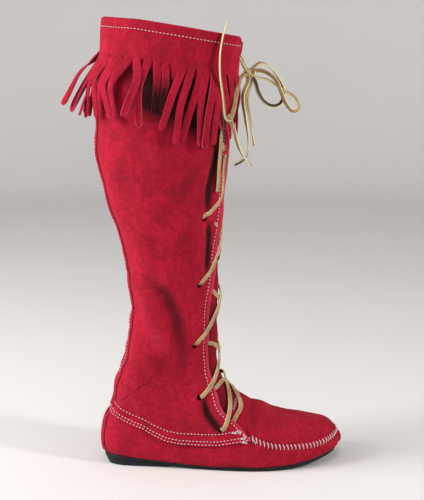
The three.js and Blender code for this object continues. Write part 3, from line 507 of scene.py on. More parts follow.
def last_point(at, turn):
    """Points of the last. turn goes once round a section, from the back or the bottom over the
    outer side, the top or front, and the inner side. Rows below 0 round off the toe."""
    at, turn = np.broadcast_arrays(np.asarray(at, float), np.asarray(turn, float))
    back_x, back_z, top_x, top_z, swing, outer, inner, wide, low, high = np.moveaxis(
        section_at(at), -1, 0)
    angle = (turn - 0.25) * 2 * np.pi
    across, up = np.cos(angle), np.sin(angle)
    power = np.where(up < 0, low, high)
    reach = (np.abs(across) ** power + np.abs(up) ** power) ** (-1 / power)
    cap = np.clip(-at, 0, 1)
    shrink = np.sqrt(1 - cap ** 2)
    level = wide + up * reach * np.where(up < 0, wide, 1 - wide) * shrink
    side = np.where(across > 0, -outer, inner) * shrink
    return np.stack([back_x + level * (top_x - back_x) + cap * TOE_BULGE,
                     swing + side * np.abs(across) * reach,
                     back_z + level * (top_z - back_z)], axis=-1)


def out_of_last(at, turn):
    """Directions straight out of the last."""
    at = np.clip(at, TOE_TIP, None)
    step = 0.02
    along = last_point(np.minimum(at + step, COLLAR_ROW), turn) - last_point(at - step / 2, turn)
    around = last_point(at, turn + step / 4) - last_point(at, turn - step / 4)
    return unit(np.cross(around, along))


def skin(at, turn, grow):
    """Points a distance outside the last, flat where they sit on the sole."""
    at, turn = np.broadcast_arrays(np.asarray(at, float), np.asarray(turn, float))
    points = last_point(at, turn) + out_of_last(at, turn) * np.asarray(grow, float)[..., None]
    points[..., 2] = np.maximum(points[..., 2], seat(points[..., 0]) - np.asarray(grow) * (at < 15))
    return points


def crossing(at, above, low=0.0, high=0.5):
    """The first turn of each section at which above(points) rises over 0."""
    at = np.atleast_1d(np.asarray(at, float))
    turns = np.linspace(low, high, 241)
    value = above(last_point(at[:, None], turns[None, :]))
    index = np.argmax(value > 0, axis=1)
    none = ~(value > 0).any(axis=1)
    rows = np.arange(len(at))
    before = value[rows, np.maximum(index - 1, 0)]
    share = np.clip(-before / np.maximum(value[rows, index] - before, 1e-12), 0, 1)
    found = turns[np.maximum(index - 1, 0)] + share * (turns[1] - turns[0])
    return np.where(none, high, np.where(index == 0, low, found))


def even_rows(start, end, turn, count):
    """Running row numbers from start to end, evenly spread over the last's surface."""
    dense = np.linspace(start, end, 900)
    line = last_point(dense, turn)
    length = np.concatenate([[0], np.cumsum(np.linalg.norm(np.diff(line, axis=0), axis=1))])
    return np.interp(np.linspace(0, length[-1], count + 1), length, dense)


def near_line(x, z, line):
    """Distance of places from a line in the side view, and their share along it."""
    line = np.asarray(line, float)
    sizes = np.linalg.norm(np.diff(line, axis=0), axis=1)
    before = np.concatenate([[0], np.cumsum(sizes)])
    best = np.full(np.shape(x), 1e9)
    share = np.zeros(np.shape(x))
    for a, b, size, start in zip(line, line[1:], sizes, before):
        t = np.clip(((x - a[0]) * (b[0] - a[0]) + (z - a[1]) * (b[1] - a[1])) / size ** 2, 0, 1)
        far = np.hypot(x - a[0] - t * (b[0] - a[0]), z - a[1] - t * (b[1] - a[1]))
        closer = far < best
        best = np.where(closer, far, best)
        share = np.where(closer, (start + t * size) / before[-1], share)
    return best, share


def soft_relief(points, folds, lumps):
    """Height of listed troughs and ridges, and of the leather's own slack, at points."""
    x, y, z = np.moveaxis(points * 1000, -1, 0)
    height = np.zeros(x.shape)
    for depth, width, inner, line in folds:
        far, share = near_line(x, z, line)
        taper = np.clip(4 * share * (1 - share), 0, 1) ** 0.5
        inward = 1 + (inner - 1) * np.clip((y + 12) / 24, 0, 1)
        height += depth * inward * np.exp(-(far / width) ** 2) * (0.35 + 0.65 * taper)
    for size, lift, seed in lumps:
        wave = np.zeros(x.shape)
        for turn in range(5):
            a, b = seed + turn * 2.4, seed * 1.7 + turn * 1.1
            ray = (math.cos(a) * math.cos(b), math.sin(a) * math.cos(b), math.sin(b))
            wave += np.sin((x * ray[0] + y * ray[1] + z * ray[2]) * 2 * np.pi / size + 3.1 * turn)
        height += lift * wave / 5 ** 0.5
    return height / 1000


# Relief of the foot part, in mm: depth, width, share on the inner side and a line in side view.
FOOT_FOLDS = [
    (-2.0, 5.0, 0.9, [(124, 66), (126, 56), (129, 42)]),
    (1.0, 5.5, 0.8, [(135, 60), (139, 52), (143, 44)]),
    (-0.9, 3.0, 0.8, [(116, 60), (117, 48), (120, 36)]),
    (-0.7, 3.2, 0.8, [(143, 62), (148, 52), (153, 44)]),
    (0.8, 6.0, 0.8, [(150, 58), (165, 50), (180, 46)]),
    (-0.8, 5.0, 0.7, [(100, 24), (118, 20), (140, 18), (160, 19)]),
    (-0.6, 3.5, 0.8, [(36, 30), (52, 24), (74, 22)]),
    (-0.7, 4.0, 0.8, [(-12, 36), (-2, 28), (12, 22)]),
    (0.6, 5.0, 0.8, [(176, 30), (190, 26), (204, 27)]),
]
FOOT_LUMPS = [(46, 0.30, 0.6), (24, 0.16, 2.2)]
SEAM_RIDGE = 0.0014
SEAM_WIDTH = 0.0017
PLUG_GROOVE = 0.0006
PUCKER_PITCH = 0.0043
PUCKER_DEPTH = 0.0008
PUCKER_REACH = 0.0075
FOOT_ROWS = 250
FOOT_COLUMNS = 72
UNDER_FOOT = ([-1, 0.5, 2, 11, 13], [0, 0, 0.07, 0.07, 0])


def upper_top(x):
    """Top of the foot part: under the shaft's lap, and up to the tongue's joint."""
    (low_x, low_z), (high_x, high_z) = joint_line
    lap = height_on(lap_line, x) + LAP
    joint = low_z + (high_z - low_z) * (x - low_x) / (high_x - low_x)
    return np.where(x < low_x, lap, np.where(x < high_x, joint, 1.0))


def seam_distance(points, out):
    """Distance over the surface from the vamp seam, above it and below it."""
    x, z = points[..., 0], points[..., 2]
    step = 0.0025
    slope = (height_on(seam_line, x + step) - height_on(seam_line, x - step)) / (2 * step)
    climb = np.stack([-slope, np.zeros_like(slope), np.ones_like(slope)], axis=-1)
    climb -= out * (climb * out).sum(axis=-1, keepdims=True)
    return (z - height_on(seam_line, x)) / np.maximum(np.linalg.norm(climb, axis=-1), 0.2)


seam_start_x = SEAM_START * FOOT_LENGTH - TREAD_CENTRE
heel_rows = np.linspace(13, 18, 400)
heel_line = last_point(heel_rows, 0.0)
heel_end = np.interp(0, heel_line[:, 2] - upper_top(heel_line[:, 0]), heel_rows)
foot_rows = even_rows(-1, heel_end, 0.30, FOOT_ROWS)
foot_top = crossing(foot_rows, lambda p: p[..., 2] - upper_top(p[..., 0]), 0.0, 0.5)
foot_low = np.minimum(np.interp(foot_rows, *UNDER_FOOT), foot_top)
foot_seam = crossing(foot_rows, lambda p: p[..., 2] - height_on(seam_line, p[..., 0]), 0.2, 0.47)
no_seam = np.clip((foot_rows - INSTEP_ROW - 0.6) / 1.5, 0, 1)
foot_seam = np.minimum(foot_seam + (foot_low + (foot_top - foot_low) * 0.6 - foot_seam) * no_seam,
                       foot_top)
over_seam, under_seam = (last_point(foot_rows, foot_seam + step) for step in (0.01, -0.01))
girth = np.linalg.norm(over_seam - under_seam, axis=1) / 0.02
foot_half = np.minimum.reduce([0.006 / np.maximum(girth, 1e-4), (foot_top - foot_seam) * 0.7,
                               (foot_seam - foot_low) * 0.7])
seam_points = last_point(foot_rows, foot_seam)
seam_run = np.concatenate([[0], np.cumsum(np.linalg.norm(np.diff(seam_points, axis=0), axis=1))])


def foot_turns(v, row):
    """Turn for a share across the foot part at running grid rows, close together at the seam."""
    read = [np.interp(row, np.arange(FOOT_ROWS + 1), values)
            for values in (foot_low, foot_seam - foot_half, foot_seam + foot_half, foot_top)]
    spots = np.array([0, 0.42, 0.74, 1.0])
    index = np.clip(np.searchsorted(spots, v, side="right") - 1, 0, 2)
    low, high = np.choose(index, read[:3]), np.choose(index, read[1:])
    return low + (high - low) * (v - spots[index]) / (spots[index + 1] - spots[index])


def foot_skin(at, turn, grow=0.0):
    """The foot part's outside with its seam, puckers and folds, and a shade that follows them:
    painted shade in troughs, in the seam's groove, under the lap's edge, beside the heel tab and
    low by the sole, and paler ridges, partly rubbed and partly painted highlight.
    """
    points = skin(at, turn, 0.0 * np.asarray(at, float))
    out = out_of_last(at, turn)
    far = seam_distance(points, out)
    run = np.interp(at, foot_rows, seam_run)
    shown = np.clip((points[..., 0] - seam_start_x + 0.002) / 0.006, 0, 1)
    front = np.clip((points[..., 0] - 0.14) / 0.05, 0.35, 1)
    ridge = SEAM_RIDGE * np.exp(-np.abs(far / SEAM_WIDTH) ** 2.4)
    groove = PLUG_GROOVE * np.exp(-((far - 0.0034) / 0.0013) ** 2)
    pull = 0.5 + 0.5 * np.cos(2 * np.pi * run / PUCKER_PITCH + 1.2 * np.sin(run * 190))
    depth = np.where(far < 0, np.exp(far / PUCKER_REACH), 0) * np.clip(-far / 0.001, 0, 1)
    pucker = PUCKER_DEPTH * front * pull * depth
    notch = 0.0004 * pull * np.exp(-(far / 0.002) ** 2)
    tip = 1 - 0.6 * np.clip((points[..., 0] - 0.206) / 0.012, 0, 1)
    relief = (ridge * tip - groove - pucker - notch) * shown
    soft = soft_relief(points, FOOT_FOLDS, FOOT_LUMPS)
    free = np.clip((points[..., 2] - seat(points[..., 0])) / 0.008, 0, 1)
    height = relief + soft * free
    points = points + out * (height + grow)[..., None]
    points[..., 2] = np.maximum(points[..., 2], seat(points[..., 0]) - grow)
    # Painted shade under the lap's edge, beside the heel tab and low by the sole
    under_lap = height_on(lap_line, points[..., 0]) - points[..., 2]
    lapped = points[..., 0] < joint_line[0, 0] + 0.02
    crease = np.exp(-((under_lap - 0.0002) / 0.0013) ** 2) * lapped
    at_heel = points[..., 0] < 0.004
    behind_tab = np.exp(-((np.abs(points[..., 1]) - 0.0166) / 0.0009) ** 2) * at_heel
    base = np.exp(-(points[..., 2] - seat(points[..., 0])) / 0.0025)
    shade = relief * 260 + soft * free * 150 - 0.55 * crease - 0.6 * behind_tab - 0.35 * base
    return points, shade


def foot_side(mirrored):
    """Places of one side of the foot part, from under the sole to its top."""
    def place(u, v):
        at = np.interp(u * FOOT_ROWS, np.arange(FOOT_ROWS + 1), foot_rows)
        turn = foot_turns(v, u * FOOT_ROWS)
        return foot_skin(at, 1 - turn if mirrored else turn)
    return place


def leather_panel(name, columns, rows, places, facing, wall, offset=-1.0):
    """A panel of suede with its thickness, whose cut edges take the second material."""
    made = panel(name, columns, rows, places, facing=facing)
    thick = made.modifiers.new("wall", "SOLIDIFY")
    thick.thickness = wall
    thick.offset = offset
    thick.use_quality_normals = True
    thick.material_offset = 2
    thick.material_offset_rim = 1
    return made


def away_from_last(points):
    """Directions from the boot's own middle line to points."""
    x, y, z = points[:, 0], points[:, 1], points[:, 2]
    core = np.stack([np.clip(x, -0.01, 0.20), 0 * y, np.maximum(z, 0.03)], axis=1)
    leg = z > 0.09
    core[leg, 0] = 0.04
    core[~leg, 2] = 0.03
    return points - core


# Brushed suede, the split side of cowhide, dyed red and raised with a brush. The nap gives it a
# soft sheen and strokes of lighter and darker red. Painted shade darkens its troughs and shaded
# places, and its ridges and raised edges are paler, partly rubbed and partly painted highlight.
SUEDE_RED = "#A50E2A"
SUEDE_BRIGHT = "#C61B3C"
SUEDE_DARK = "#860A1F"
# Near-black for painted shade, then pale red for rubbed wear and painted highlight
SUEDE_PAINTED_SHADE = "#140507"
SUEDE_RUBBED_AND_HIGHLIGHT = "#D94862"
SUEDE_SHEEN = "#F0506E"
INNER_RED = "#8E0E24"
INNER_BRIGHT = "#A81A34"
INNER_DARK = "#6A081A"
CUT_EDGE = "#D4506C"
CUT_EDGE_DARK = "#A01C3C"
STROKE = 0.017
FIBRE = 0.0010


def brushed_suede(name, red, bright, dark, painted_shade_share=0.94):
    """Suede with strokes in its nap, painted shade in its troughs and shaded places, and ridges
    paler with rubbing and painted highlight.
    """
    material, output = material_of(name)
    place = node(material, "TexCoord", out="Object")
    stretched = node(material, "Mapping", {"Vector": place, "Scale": (1.0, 1.0, 0.55)}, 0)
    shade = node(material, "Attribute", out="Fac", attribute_name="shade")
    stroke = node(material, "TexNoise", {"Vector": stretched, "Scale": 1 / STROKE, "Detail": 3.0,
                                         "Roughness": 0.6}, "Fac")
    patch = node(material, "TexNoise", {"Vector": place, "Scale": 1 / 0.0045, "Detail": 3.0,
                                        "Roughness": 0.6}, "Fac")
    fibre = node(material, "TexNoise", {"Vector": stretched, "Scale": 1 / FIBRE, "Detail": 3.0,
                                        "Roughness": 0.7}, "Fac")
    mixed = node(material, "Math", {0: stroke, 1: patch}, 0, operation="ADD")
    share = node(material, "MapRange", {"Value": mixed, "From Min": 0.62, "From Max": 1.12}, 0)
    colour = node(material, "Mix", {0: share, 6: dark, 7: red}, 2, data_type="RGBA")
    share = node(material, "MapRange", {"Value": mixed, "From Min": 1.00, "From Max": 1.55}, 0)
    colour = node(material, "Mix", {0: share, 6: colour, 7: bright}, 2, data_type="RGBA")
    share = node(material, "MapRange", {"Value": fibre, "From Min": 0.50, "From Max": 0.80}, 0)
    light = node(material, "Math", {0: share, 1: 0.7}, 0, operation="MULTIPLY")
    colour = node(material, "Mix", {0: light, 6: colour, 7: bright}, 2, data_type="RGBA")
    share = node(material, "MapRange", {"Value": fibre, "From Min": 0.50, "From Max": 0.24}, 0)
    deep = node(material, "Math", {0: share, 1: 0.85}, 0, operation="MULTIPLY")
    colour = node(material, "Mix", {0: deep, 6: colour, 7: dark}, 2, data_type="RGBA")
    # Painted shade: the lower the shade attribute, the nearer the colour goes to near-black
    share = node(material, "MapRange", {"Value": shade, "From Min": -0.05, "From Max": -1.35}, 0)
    painted_shade = node(material, "Math", {0: share, 1: painted_shade_share}, 0, operation="MULTIPLY")
    colour = node(material, "Mix", {0: painted_shade, 6: colour, 7: SUEDE_PAINTED_SHADE}, 2, data_type="RGBA")
    # Paler where the shade attribute is high: partly rubbed wear, partly painted highlight
    share = node(material, "MapRange", {"Value": shade, "From Min": 0.15, "From Max": 1.2}, 0)
    rub_and_highlight = node(material, "Math", {0: share, 1: patch}, 0, operation="MULTIPLY")
    colour = node(material, "Mix", {0: rub_and_highlight, 6: colour, 7: SUEDE_RUBBED_AND_HIGHLIGHT}, 2, data_type="RGBA")
    height = node(material, "Math", {0: fibre, 1: patch}, 0, operation="ADD")
    bump = node(material, "Bump", {"Strength": 0.55, "Distance": 0.0006, "Height": height})
    nap = node(material, "BsdfPrincipled", {
        "Base Color": colour, "Roughness": 0.92, "IOR": 1.45, "Specular IOR Level": 0.25,
        "Sheen Weight": 0.10, "Sheen Roughness": 0.4, "Sheen Tint": SUEDE_SHEEN,
        "Normal": bump.outputs[0]})
    node_link(material, nap, output)
    return material


def cut_suede():
    """The raw edge of the hide, lighter than the dyed face and open in its fibre."""
    material, output = material_of("cut_suede_edge")
    place = node(material, "TexCoord", out="Object")
    fibre = node(material, "TexNoise", {"Vector": place, "Scale": 1 / 0.0008, "Detail": 3.0,
                                        "Roughness": 0.7}, "Fac")
    share = node(material, "MapRange", {"Value": fibre, "From Min": 0.35, "From Max": 0.65}, 0)
    colour = node(material, "Mix", {0: share, 6: CUT_EDGE_DARK, 7: CUT_EDGE}, 2, data_type="RGBA")
    bump = node(material, "Bump", {"Strength": 0.6, "Distance": 0.0004, "Height": fibre})
    edge = node(material, "BsdfPrincipled", {
        "Base Color": colour, "Roughness": 0.95, "IOR": 1.45, "Specular IOR Level": 0.2,
        "Normal": bump.outputs[0]})
    node_link(material, edge, output)
    return material


red_suede = brushed_suede("brushed_red_suede", SUEDE_RED, SUEDE_BRIGHT, SUEDE_DARK)
# Inside faces of the panels take no painted shade
inner_suede = brushed_suede("inner_suede_without_painted_shade", INNER_RED, INNER_BRIGHT, INNER_DARK, painted_shade_share=0.0)
suede_edge = cut_suede()
foot_part = leather_panel("suede_foot_part", FOOT_ROWS, FOOT_COLUMNS,
                          [foot_side(False), foot_side(True)], away_from_last, SUEDE)
dress(foot_part, "red_suede", red_suede, suede_edge, inner_suede, replaced=["upper"])

# Tongue
# A softer, darker sheet of suede behind the laces, whip-stitched to the vamp. Its edges lie under
# the shaft, and it sinks a little between the laces.
TONGUE_RED = "#8A0A22"
TONGUE_BRIGHT = "#A8142E"
TONGUE_DARK = "#6A081A"
TONGUE_TUCK = 0.009
TONGUE_SHADOW = 0.75
TONGUE_ROWS = 150
TONGUE_COLUMNS = 22
TONGUE_FOLDS = [
    (-1.4, 5.0, 1.0, [(78, 215), (96, 222)]),
    (1.2, 6.0, 1.0, [(80, 236), (96, 240)]),
    (-1.2, 5.0, 1.0, [(74, 150), (96, 152)]),
    (1.0, 6.0, 1.0, [(74, 132), (96, 133)]),
    (-1.0, 5.0, 1.0, [(84, 100), (100, 108)]),
    (1.0, 6.0, 1.0, [(82, 180), (98, 182)]),
    (-1.0, 7.0, 1.0, [(90, 300), (104, 302)]),
]
TONGUE_LUMPS = [(30, 0.45, 1.4), (16, 0.2, 3.6)]


def at_height(height, turn):
    """Running row numbers at which the line of one turn reaches a height."""
    low = np.full(np.broadcast(height, turn).shape, float(INSTEP_ROW))
    high = np.full(low.shape, float(COLLAR_ROW))
    for _ in range(22):
        middle = (low + high) / 2
        under = last_point(middle, turn)[..., 2] < height
        low, high = np.where(under, middle, low), np.where(under, high, middle)
    return (low + high) / 2


def row_where(value, turn, start=INSTEP_ROW, end=COLLAR_ROW):
    """Running row number at which value(points) rises over 0 on each line of one turn."""
    rows = np.linspace(start, end, 400)
    found = value(last_point(rows[None, :], np.atleast_1d(turn)[:, None]))
    index = np.clip(np.argmax(found > 0, axis=1), 1, 399)
    lines = np.arange(len(found))
    before, after = found[lines, index - 1], found[lines, index]
    share = np.clip(-before / np.maximum(after - before, 1e-12), 0, 1)
    return rows[index - 1] + share * (rows[1] - rows[0])


def over_collar(points):
    """Height of points over the collar's line."""
    return points[..., 2] - height_on(collar_line, points[..., 0])


def over_joint(points):
    """Height of points over the line where the tongue joins the vamp."""
    (low_x, low_z), (high_x, high_z) = joint_line
    return points[..., 2] - low_z - (high_z - low_z) * (points[..., 0] - low_x) / (high_x - low_x)


collar_turns = np.linspace(0, 1, 201)
collar_rows = row_where(over_collar, np.minimum(collar_turns, 1 - collar_turns), start=24)


def collar_at(turn):
    """Running row number of the collar's edge at a turn."""
    return np.interp(turn, collar_turns, collar_rows)


joint_turns = np.linspace(0.36, 0.5, 40)
joint_rows = row_where(over_joint, joint_turns, start=5, end=14)


tuck_rows = np.linspace(INSTEP_ROW, COLLAR_ROW, 800)
tuck_turns = crossing(tuck_rows, lambda p: p[..., 0] + TONGUE_TUCK - throat_x(p[..., 2]), 0.2, 0.5)


def tongue_place(u, v):
    """Points and shades of the tongue."""
    joint = np.interp(0.48, joint_turns, joint_rows)
    at = joint + (COLLAR_ROW - 0.5 - joint) * v
    for _ in range(3):
        edge = np.interp(at, tuck_rows, tuck_turns)
        turn = 0.5 + (0.5 - edge) * (2 * u - 1)
        folded = np.minimum(turn, 1 - turn)
        start = np.interp(folded, joint_turns, joint_rows)
        at = start + (collar_at(folded) - start) * v
    points = last_point(at, turn)
    out = out_of_last(at, turn)
    soft = soft_relief(points, TONGUE_FOLDS, TONGUE_LUMPS)
    rim = np.clip(1 - np.abs(2 * u - 1), 0, 0.3) / 0.3
    ends = np.clip(v / 0.04, 0, 1)
    sunk = -0.0012 * (1 - rim)
    beside = points[:, 0] - throat_x(points[:, 2])
    shadow = TONGUE_SHADOW * np.exp(-(beside / 0.0045) ** 2)
    return points + out * ((soft * rim + sunk) * ends)[:, None], soft * 220 - shadow


dark_suede = brushed_suede("soft_dark_red_suede", TONGUE_RED, TONGUE_BRIGHT, TONGUE_DARK)
tongue_sheet = leather_panel("suede_tongue", TONGUE_COLUMNS, TONGUE_ROWS, [tongue_place],
                             away_from_last, SUEDE)
dress(tongue_sheet, "dark_red_suede", dark_suede, suede_edge, inner_suede, replaced=["tongue"])

# Shaft
# Leg and quarters cut in one from thick red suede and closed by a seam at the back. The lower edge
# laps over the foot part, and the front edges are punched for the lace. It has settled into folds.
SHAFT_INNER = LAYER_GAP
SHAFT_OUTER = SHAFT_INNER + SUEDE
SHAFT_ROWS = 250
SHAFT_COLUMNS = 64
THROAT_LIFT = 0.0013
THROAT_LIFT_REACH = 0.012
HOLE = 0.0056
TRIM_LAYER = 0.0022
# Lace holes of the outer side from the collar down: x and z in the side view, in mm
HOLES = [(91.5, 381.7), (86.9, 335.0), (75.0, 262.2), (70.0, 193.2), (65.0, 129.8), (71.0, 75.6),
         (93.2, 43.6)]
LEG_FOLDS = [
    (-3.2, 3.2, 0.8, [(90, 340), (84, 312), (80, 290), (78, 272)]),
    (-2.6, 3.0, 0.8, [(79, 256), (80, 240), (79, 222), (76, 208)]),
    (-3.8, 7.0, 0.8, [(16, 204), (38, 182), (47, 162), (52, 132), (54, 110)]),
    (2.0, 6.0, 0.8, [(11, 194), (20, 156), (30, 136), (33, 118)]),
    (1.6, 6.5, 0.7, [(34, 204), (52, 184), (60, 160), (64, 130)]),
    (0.9, 6.5, 0.9, [(-15, 90), (-3, 79), (16, 60)]),
    (-0.9, 5.5, 0.9, [(-22, 78), (-10, 66), (6, 48)]),
    (-1.2, 5.0, 0.8, [(68, 318), (60, 304), (52, 288)]),
    (1.0, 7.0, 0.8, [(78, 312), (68, 292), (60, 280)]),
    (-2.8, 4.6, 0.9, [(75, 76), (79, 59), (92, 44)]),
    (1.2, 6.0, 0.8, [(70, 72), (70, 58), (78, 44)]),
    (-1.6, 5.0, 0.8, [(-2, 206), (14, 196), (26, 178)]),
    (-1.4, 6.0, 0.8, [(6, 150), (22, 132), (34, 112), (40, 94)]),
    (1.4, 6.0, 0.8, [(4, 132), (18, 112), (30, 92)]),
    (-1.3, 5.0, 0.8, [(-6, 118), (8, 104), (22, 86)]),
    (1.2, 5.0, 0.8, [(-10, 104), (6, 92), (20, 74)]),
    (-1.0, 6.0, 0.8, [(2, 262), (14, 246), (30, 236)]),
    (0.9, 8.0, 0.8, [(10, 290), (24, 268), (44, 250)]),
    (-1.0, 7.0, 0.8, [(56, 250), (62, 226), (62, 200)]),
    (0.9, 7.0, 0.8, [(70, 240), (72, 214), (70, 190)]),
    (-0.9, 6.0, 0.8, [(62, 122), (58, 98), (62, 76)]),
    (0.9, 6.0, 0.8, [(72, 116), (68, 98), (70, 84)]),
    (-0.9, 9.0, 0.8, [(-14, 330), (-4, 300), (0, 270)]),
    (0.8, 9.0, 0.8, [(20, 350), (24, 320), (20, 290)]),
    (-1.2, 5.0, 1.0, [(-16, 178), (-6, 168), (6, 164)]),
    (1.0, 5.0, 1.0, [(-14, 162), (-2, 152), (8, 150)]),
    (-1.0, 4.5, 1.0, [(-18, 140), (-8, 132), (2, 132)]),
]
# Painted shadows along the throat's edge, in the ankle's trough and in other troughs of the shaft,
# in the same columns: strength, width, share, line
LEG_PAINTED_SHADOWS = [
    (-1.7, 3.3, 0.8, [(90, 342), (84, 312), (80, 290), (79, 272)]),
    (-1.6, 2.7, 0.8, [(80, 258), (80, 240), (79, 222), (77, 206)]),
    (-0.42, 7.5, 0.8, [(20, 206), (40, 184), (49, 162), (54, 132), (56, 108)]),
    (-1.6, 4.0, 0.9, [(75, 73), (80, 58), (92, 43)]),
    (-0.30, 9.0, 0.6, [(70, 318), (60, 300), (52, 280)]),
]
# Painted shadow on the shaft under the fringe: its strength, the drop below the collar where it
# starts, the drop near the strips' tips where it fades, and how much lower that lies at the front
FRINGE_PAINTED_SHADOW = 1.5
FRINGE_TOP = 0.040
FRINGE_TIPS = 0.096
FRINGE_TIPS_FALL = 0.018
# How much paler the throat's edge is: partly rubbed, partly painted highlight
THROAT_EDGE_RUBBED_AND_HIGHLIGHT = 1.0
# Painted shadow round each lace hole
HOLE_PAINTED_SHADOW = 1.3
LEG_LUMPS = [(62, 0.75, 0.9), (34, 0.40, 3.1), (17, 0.16, 5.0)]


side_grid_rows = np.linspace(INSTEP_ROW, COLLAR_ROW, 700)
side_grid_turns = np.linspace(0.2, 0.5, 121)
side_grid = last_point(side_grid_rows[:, None], side_grid_turns[None, :])


def side_spot(x, z):
    """Running row number and turn of the place on the outer side that a side view shows at x, z."""
    far = np.hypot(side_grid[..., 0] - x, side_grid[..., 2] - z)
    row, column = np.unravel_index(np.argmin(far), far.shape)
    return side_grid_rows[row], side_grid_turns[column]


hole_spots = np.array(HOLES) / 1000
hole_rows, hole_turns = np.array([side_spot(x, z) for x, z in hole_spots]).T


def leg_relief(points):
    """Folds of the shaft, which everything sewn to it follows."""
    calm = np.clip((0.452 - points[..., 2]) / 0.05, 0.25, 1)
    near_lap = np.clip((points[..., 2] - height_on(lap_line, points[..., 0])) / 0.010, 0, 1)
    quiet = np.where(points[..., 2] < 0.12, 0.25 + 0.75 * near_lap, 1)
    return soft_relief(points, LEG_FOLDS, LEG_LUMPS) * calm * quiet


def leg_skin(at, turn, grow, shade=1.0):
    """Points outside the shaft's folds, and a shade that follows them, with painted shadows in the
    throat, under the fringe and at the lace holes, and paler along the throat's edge.
    """
    points = last_point(at, turn)
    out = out_of_last(at, turn)
    soft = leg_relief(points)
    edge = throat_x(points[..., 2]) - points[..., 0]
    lift = THROAT_LIFT * np.clip(1 - edge / THROAT_LIFT_REACH, 0, 1) ** 2
    x, z = points[..., 0], points[..., 2]
    # Painted shadows along the throat's edge and in the shaft's troughs
    painted_shading = soft_relief(points, LEG_PAINTED_SHADOWS, []) * 1000
    # Painted shadow under the fringe, fading at the back of the leg
    drop = height_on(collar_line, x) - z
    low = FRINGE_TIPS + FRINGE_TIPS_FALL * np.clip(x / 0.09, 0, 1)
    fringe_shadow_mask = np.clip((drop - FRINGE_TOP) / 0.006, 0, 1) * np.clip((low - drop) / 0.020, 0, 1)
    painted_shading -= FRINGE_PAINTED_SHADOW * fringe_shadow_mask * np.clip((x + 0.006) / 0.022, 0.1, 1)
    # Painted shadow round each lace hole
    for spot_x, spot_z in hole_spots:
        painted_shading -= HOLE_PAINTED_SHADOW * np.exp(-((x - spot_x) ** 2 + (z - spot_z) ** 2) / 0.0030 ** 2)
    # Paler along the throat's edge and where it lifts: partly rubbed, partly painted highlight
    painted_shading += THROAT_EDGE_RUBBED_AND_HIGHLIGHT * np.exp(-(edge / 0.0026) ** 2)
    tone = soft * 150 + painted_shading * (grow < TRIM_LAYER) + 0.2 * lift / THROAT_LIFT
    return points + out * (soft + lift + grow)[..., None], tone * shade


edge_rows = np.linspace(INSTEP_ROW, COLLAR_ROW, 1200)
lap_turns = crossing(edge_rows, lambda p: p[..., 2] - height_on(lap_line, p[..., 0]), 0.0, 0.5)
throat_turns = crossing(edge_rows, lambda p: p[..., 0] - throat_x(p[..., 2]), 0.2, 0.5)
meeting = edge_rows < 9
corner_row = np.interp(0, (throat_turns - lap_turns)[meeting], edge_rows[meeting])


def shaft_low(at):
    """Turn of the shaft's lower edge at running row numbers."""
    return np.interp(at, edge_rows, lap_turns)


def shaft_high(at):
    """Turn of the shaft's front edge at running row numbers."""
    return np.interp(at, edge_rows, throat_turns)


shaft_rows = even_rows(corner_row, COLLAR_ROW, 0.25, SHAFT_ROWS)


def up_to_collar(reach, turn):
    """Running row number at a share of the way from the shaft's front corner to the collar."""
    return corner_row + reach * (collar_at(turn) - corner_row)


def shaft_side(mirrored):
    """Places of one side of the shaft, from its lower edge to its front edge."""
    def place(u, v):
        reach = np.interp(v * SHAFT_ROWS, np.arange(SHAFT_ROWS + 1),
                          (shaft_rows - corner_row) / (COLLAR_ROW - corner_row))
        turn = np.full(u.shape, 0.3)
        for _ in range(3):
            at = up_to_collar(reach, turn)
            low, high = shaft_low(at), shaft_high(at)
            turn = low + (high - low) * u
        return leg_skin(at, 1 - turn if mirrored else turn, SHAFT_OUTER)
    return place


def away_from_leg(points):
    """Directions from the leg's middle line to points."""
    return points - np.stack([0.035 + 0 * points[:, 0], 0 * points[:, 1], points[:, 2]], axis=1)


def made_solid(piece):
    """Takes a piece's modifiers into its own mesh."""
    bpy.context.view_layer.update()
    evaluated = piece.evaluated_get(bpy.context.evaluated_depsgraph_get())
    mesh = bpy.data.meshes.new_from_object(evaluated)
    piece.modifiers.clear()
    piece.data = mesh


def lace_holes():
    """Short pins through the shaft where its lace holes are punched."""
    pins = bmesh.new()
    for at, turn in zip(hole_rows, hole_turns):
        for side in (turn, 1 - turn):
            centre = leg_skin(np.array([at]), np.array([side]), SUEDE)[0][0]
            out = out_of_last(np.array([at]), np.array([side]))[0]
            spin = Vector((0, 0, 1)).rotation_difference(Vector(out)).to_matrix().to_4x4()
            bmesh.ops.create_cone(pins, cap_ends=True, segments=14, radius1=HOLE / 2,
                                  radius2=HOLE / 2, depth=0.008,
                                  matrix=Matrix.Translation(centre) @ spin)
    mesh = bpy.data.meshes.new("pins")
    pins.to_mesh(mesh)
    pins.free()
    return place_mesh("pins", mesh)


shaft_part = leather_panel("suede_shaft", SHAFT_COLUMNS, SHAFT_ROWS,
                           [shaft_side(False), shaft_side(True)], away_from_leg, SUEDE)
for finish in (red_suede, suede_edge, inner_suede):
    shaft_part.data.materials.append(finish)
hole_pins = lace_holes()
punch = shaft_part.modifiers.new("punch", "BOOLEAN")
punch.object = hole_pins
punch.solver = "EXACT"
made_solid(shaft_part)
bpy.data.objects.remove(hole_pins)
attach(shaft_part, "root")
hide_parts("shaft")

# Back strap and heel tab
# A strip of the same suede is stitched over the back seam of the shaft, from the heel to the cuff,
# and a folded tab covers the back seam of the foot part down to the sole.
TRIM_SUEDE = 0.0014
TRIM_INNER = SHAFT_OUTER + LAYER_GAP
STRAP_HALF = 0.015
CUFF_DEPTH = 0.044
TAB_TOP = 0.0497
TAB_HALF = 0.016
TAB_ROW_LOW = 9.2


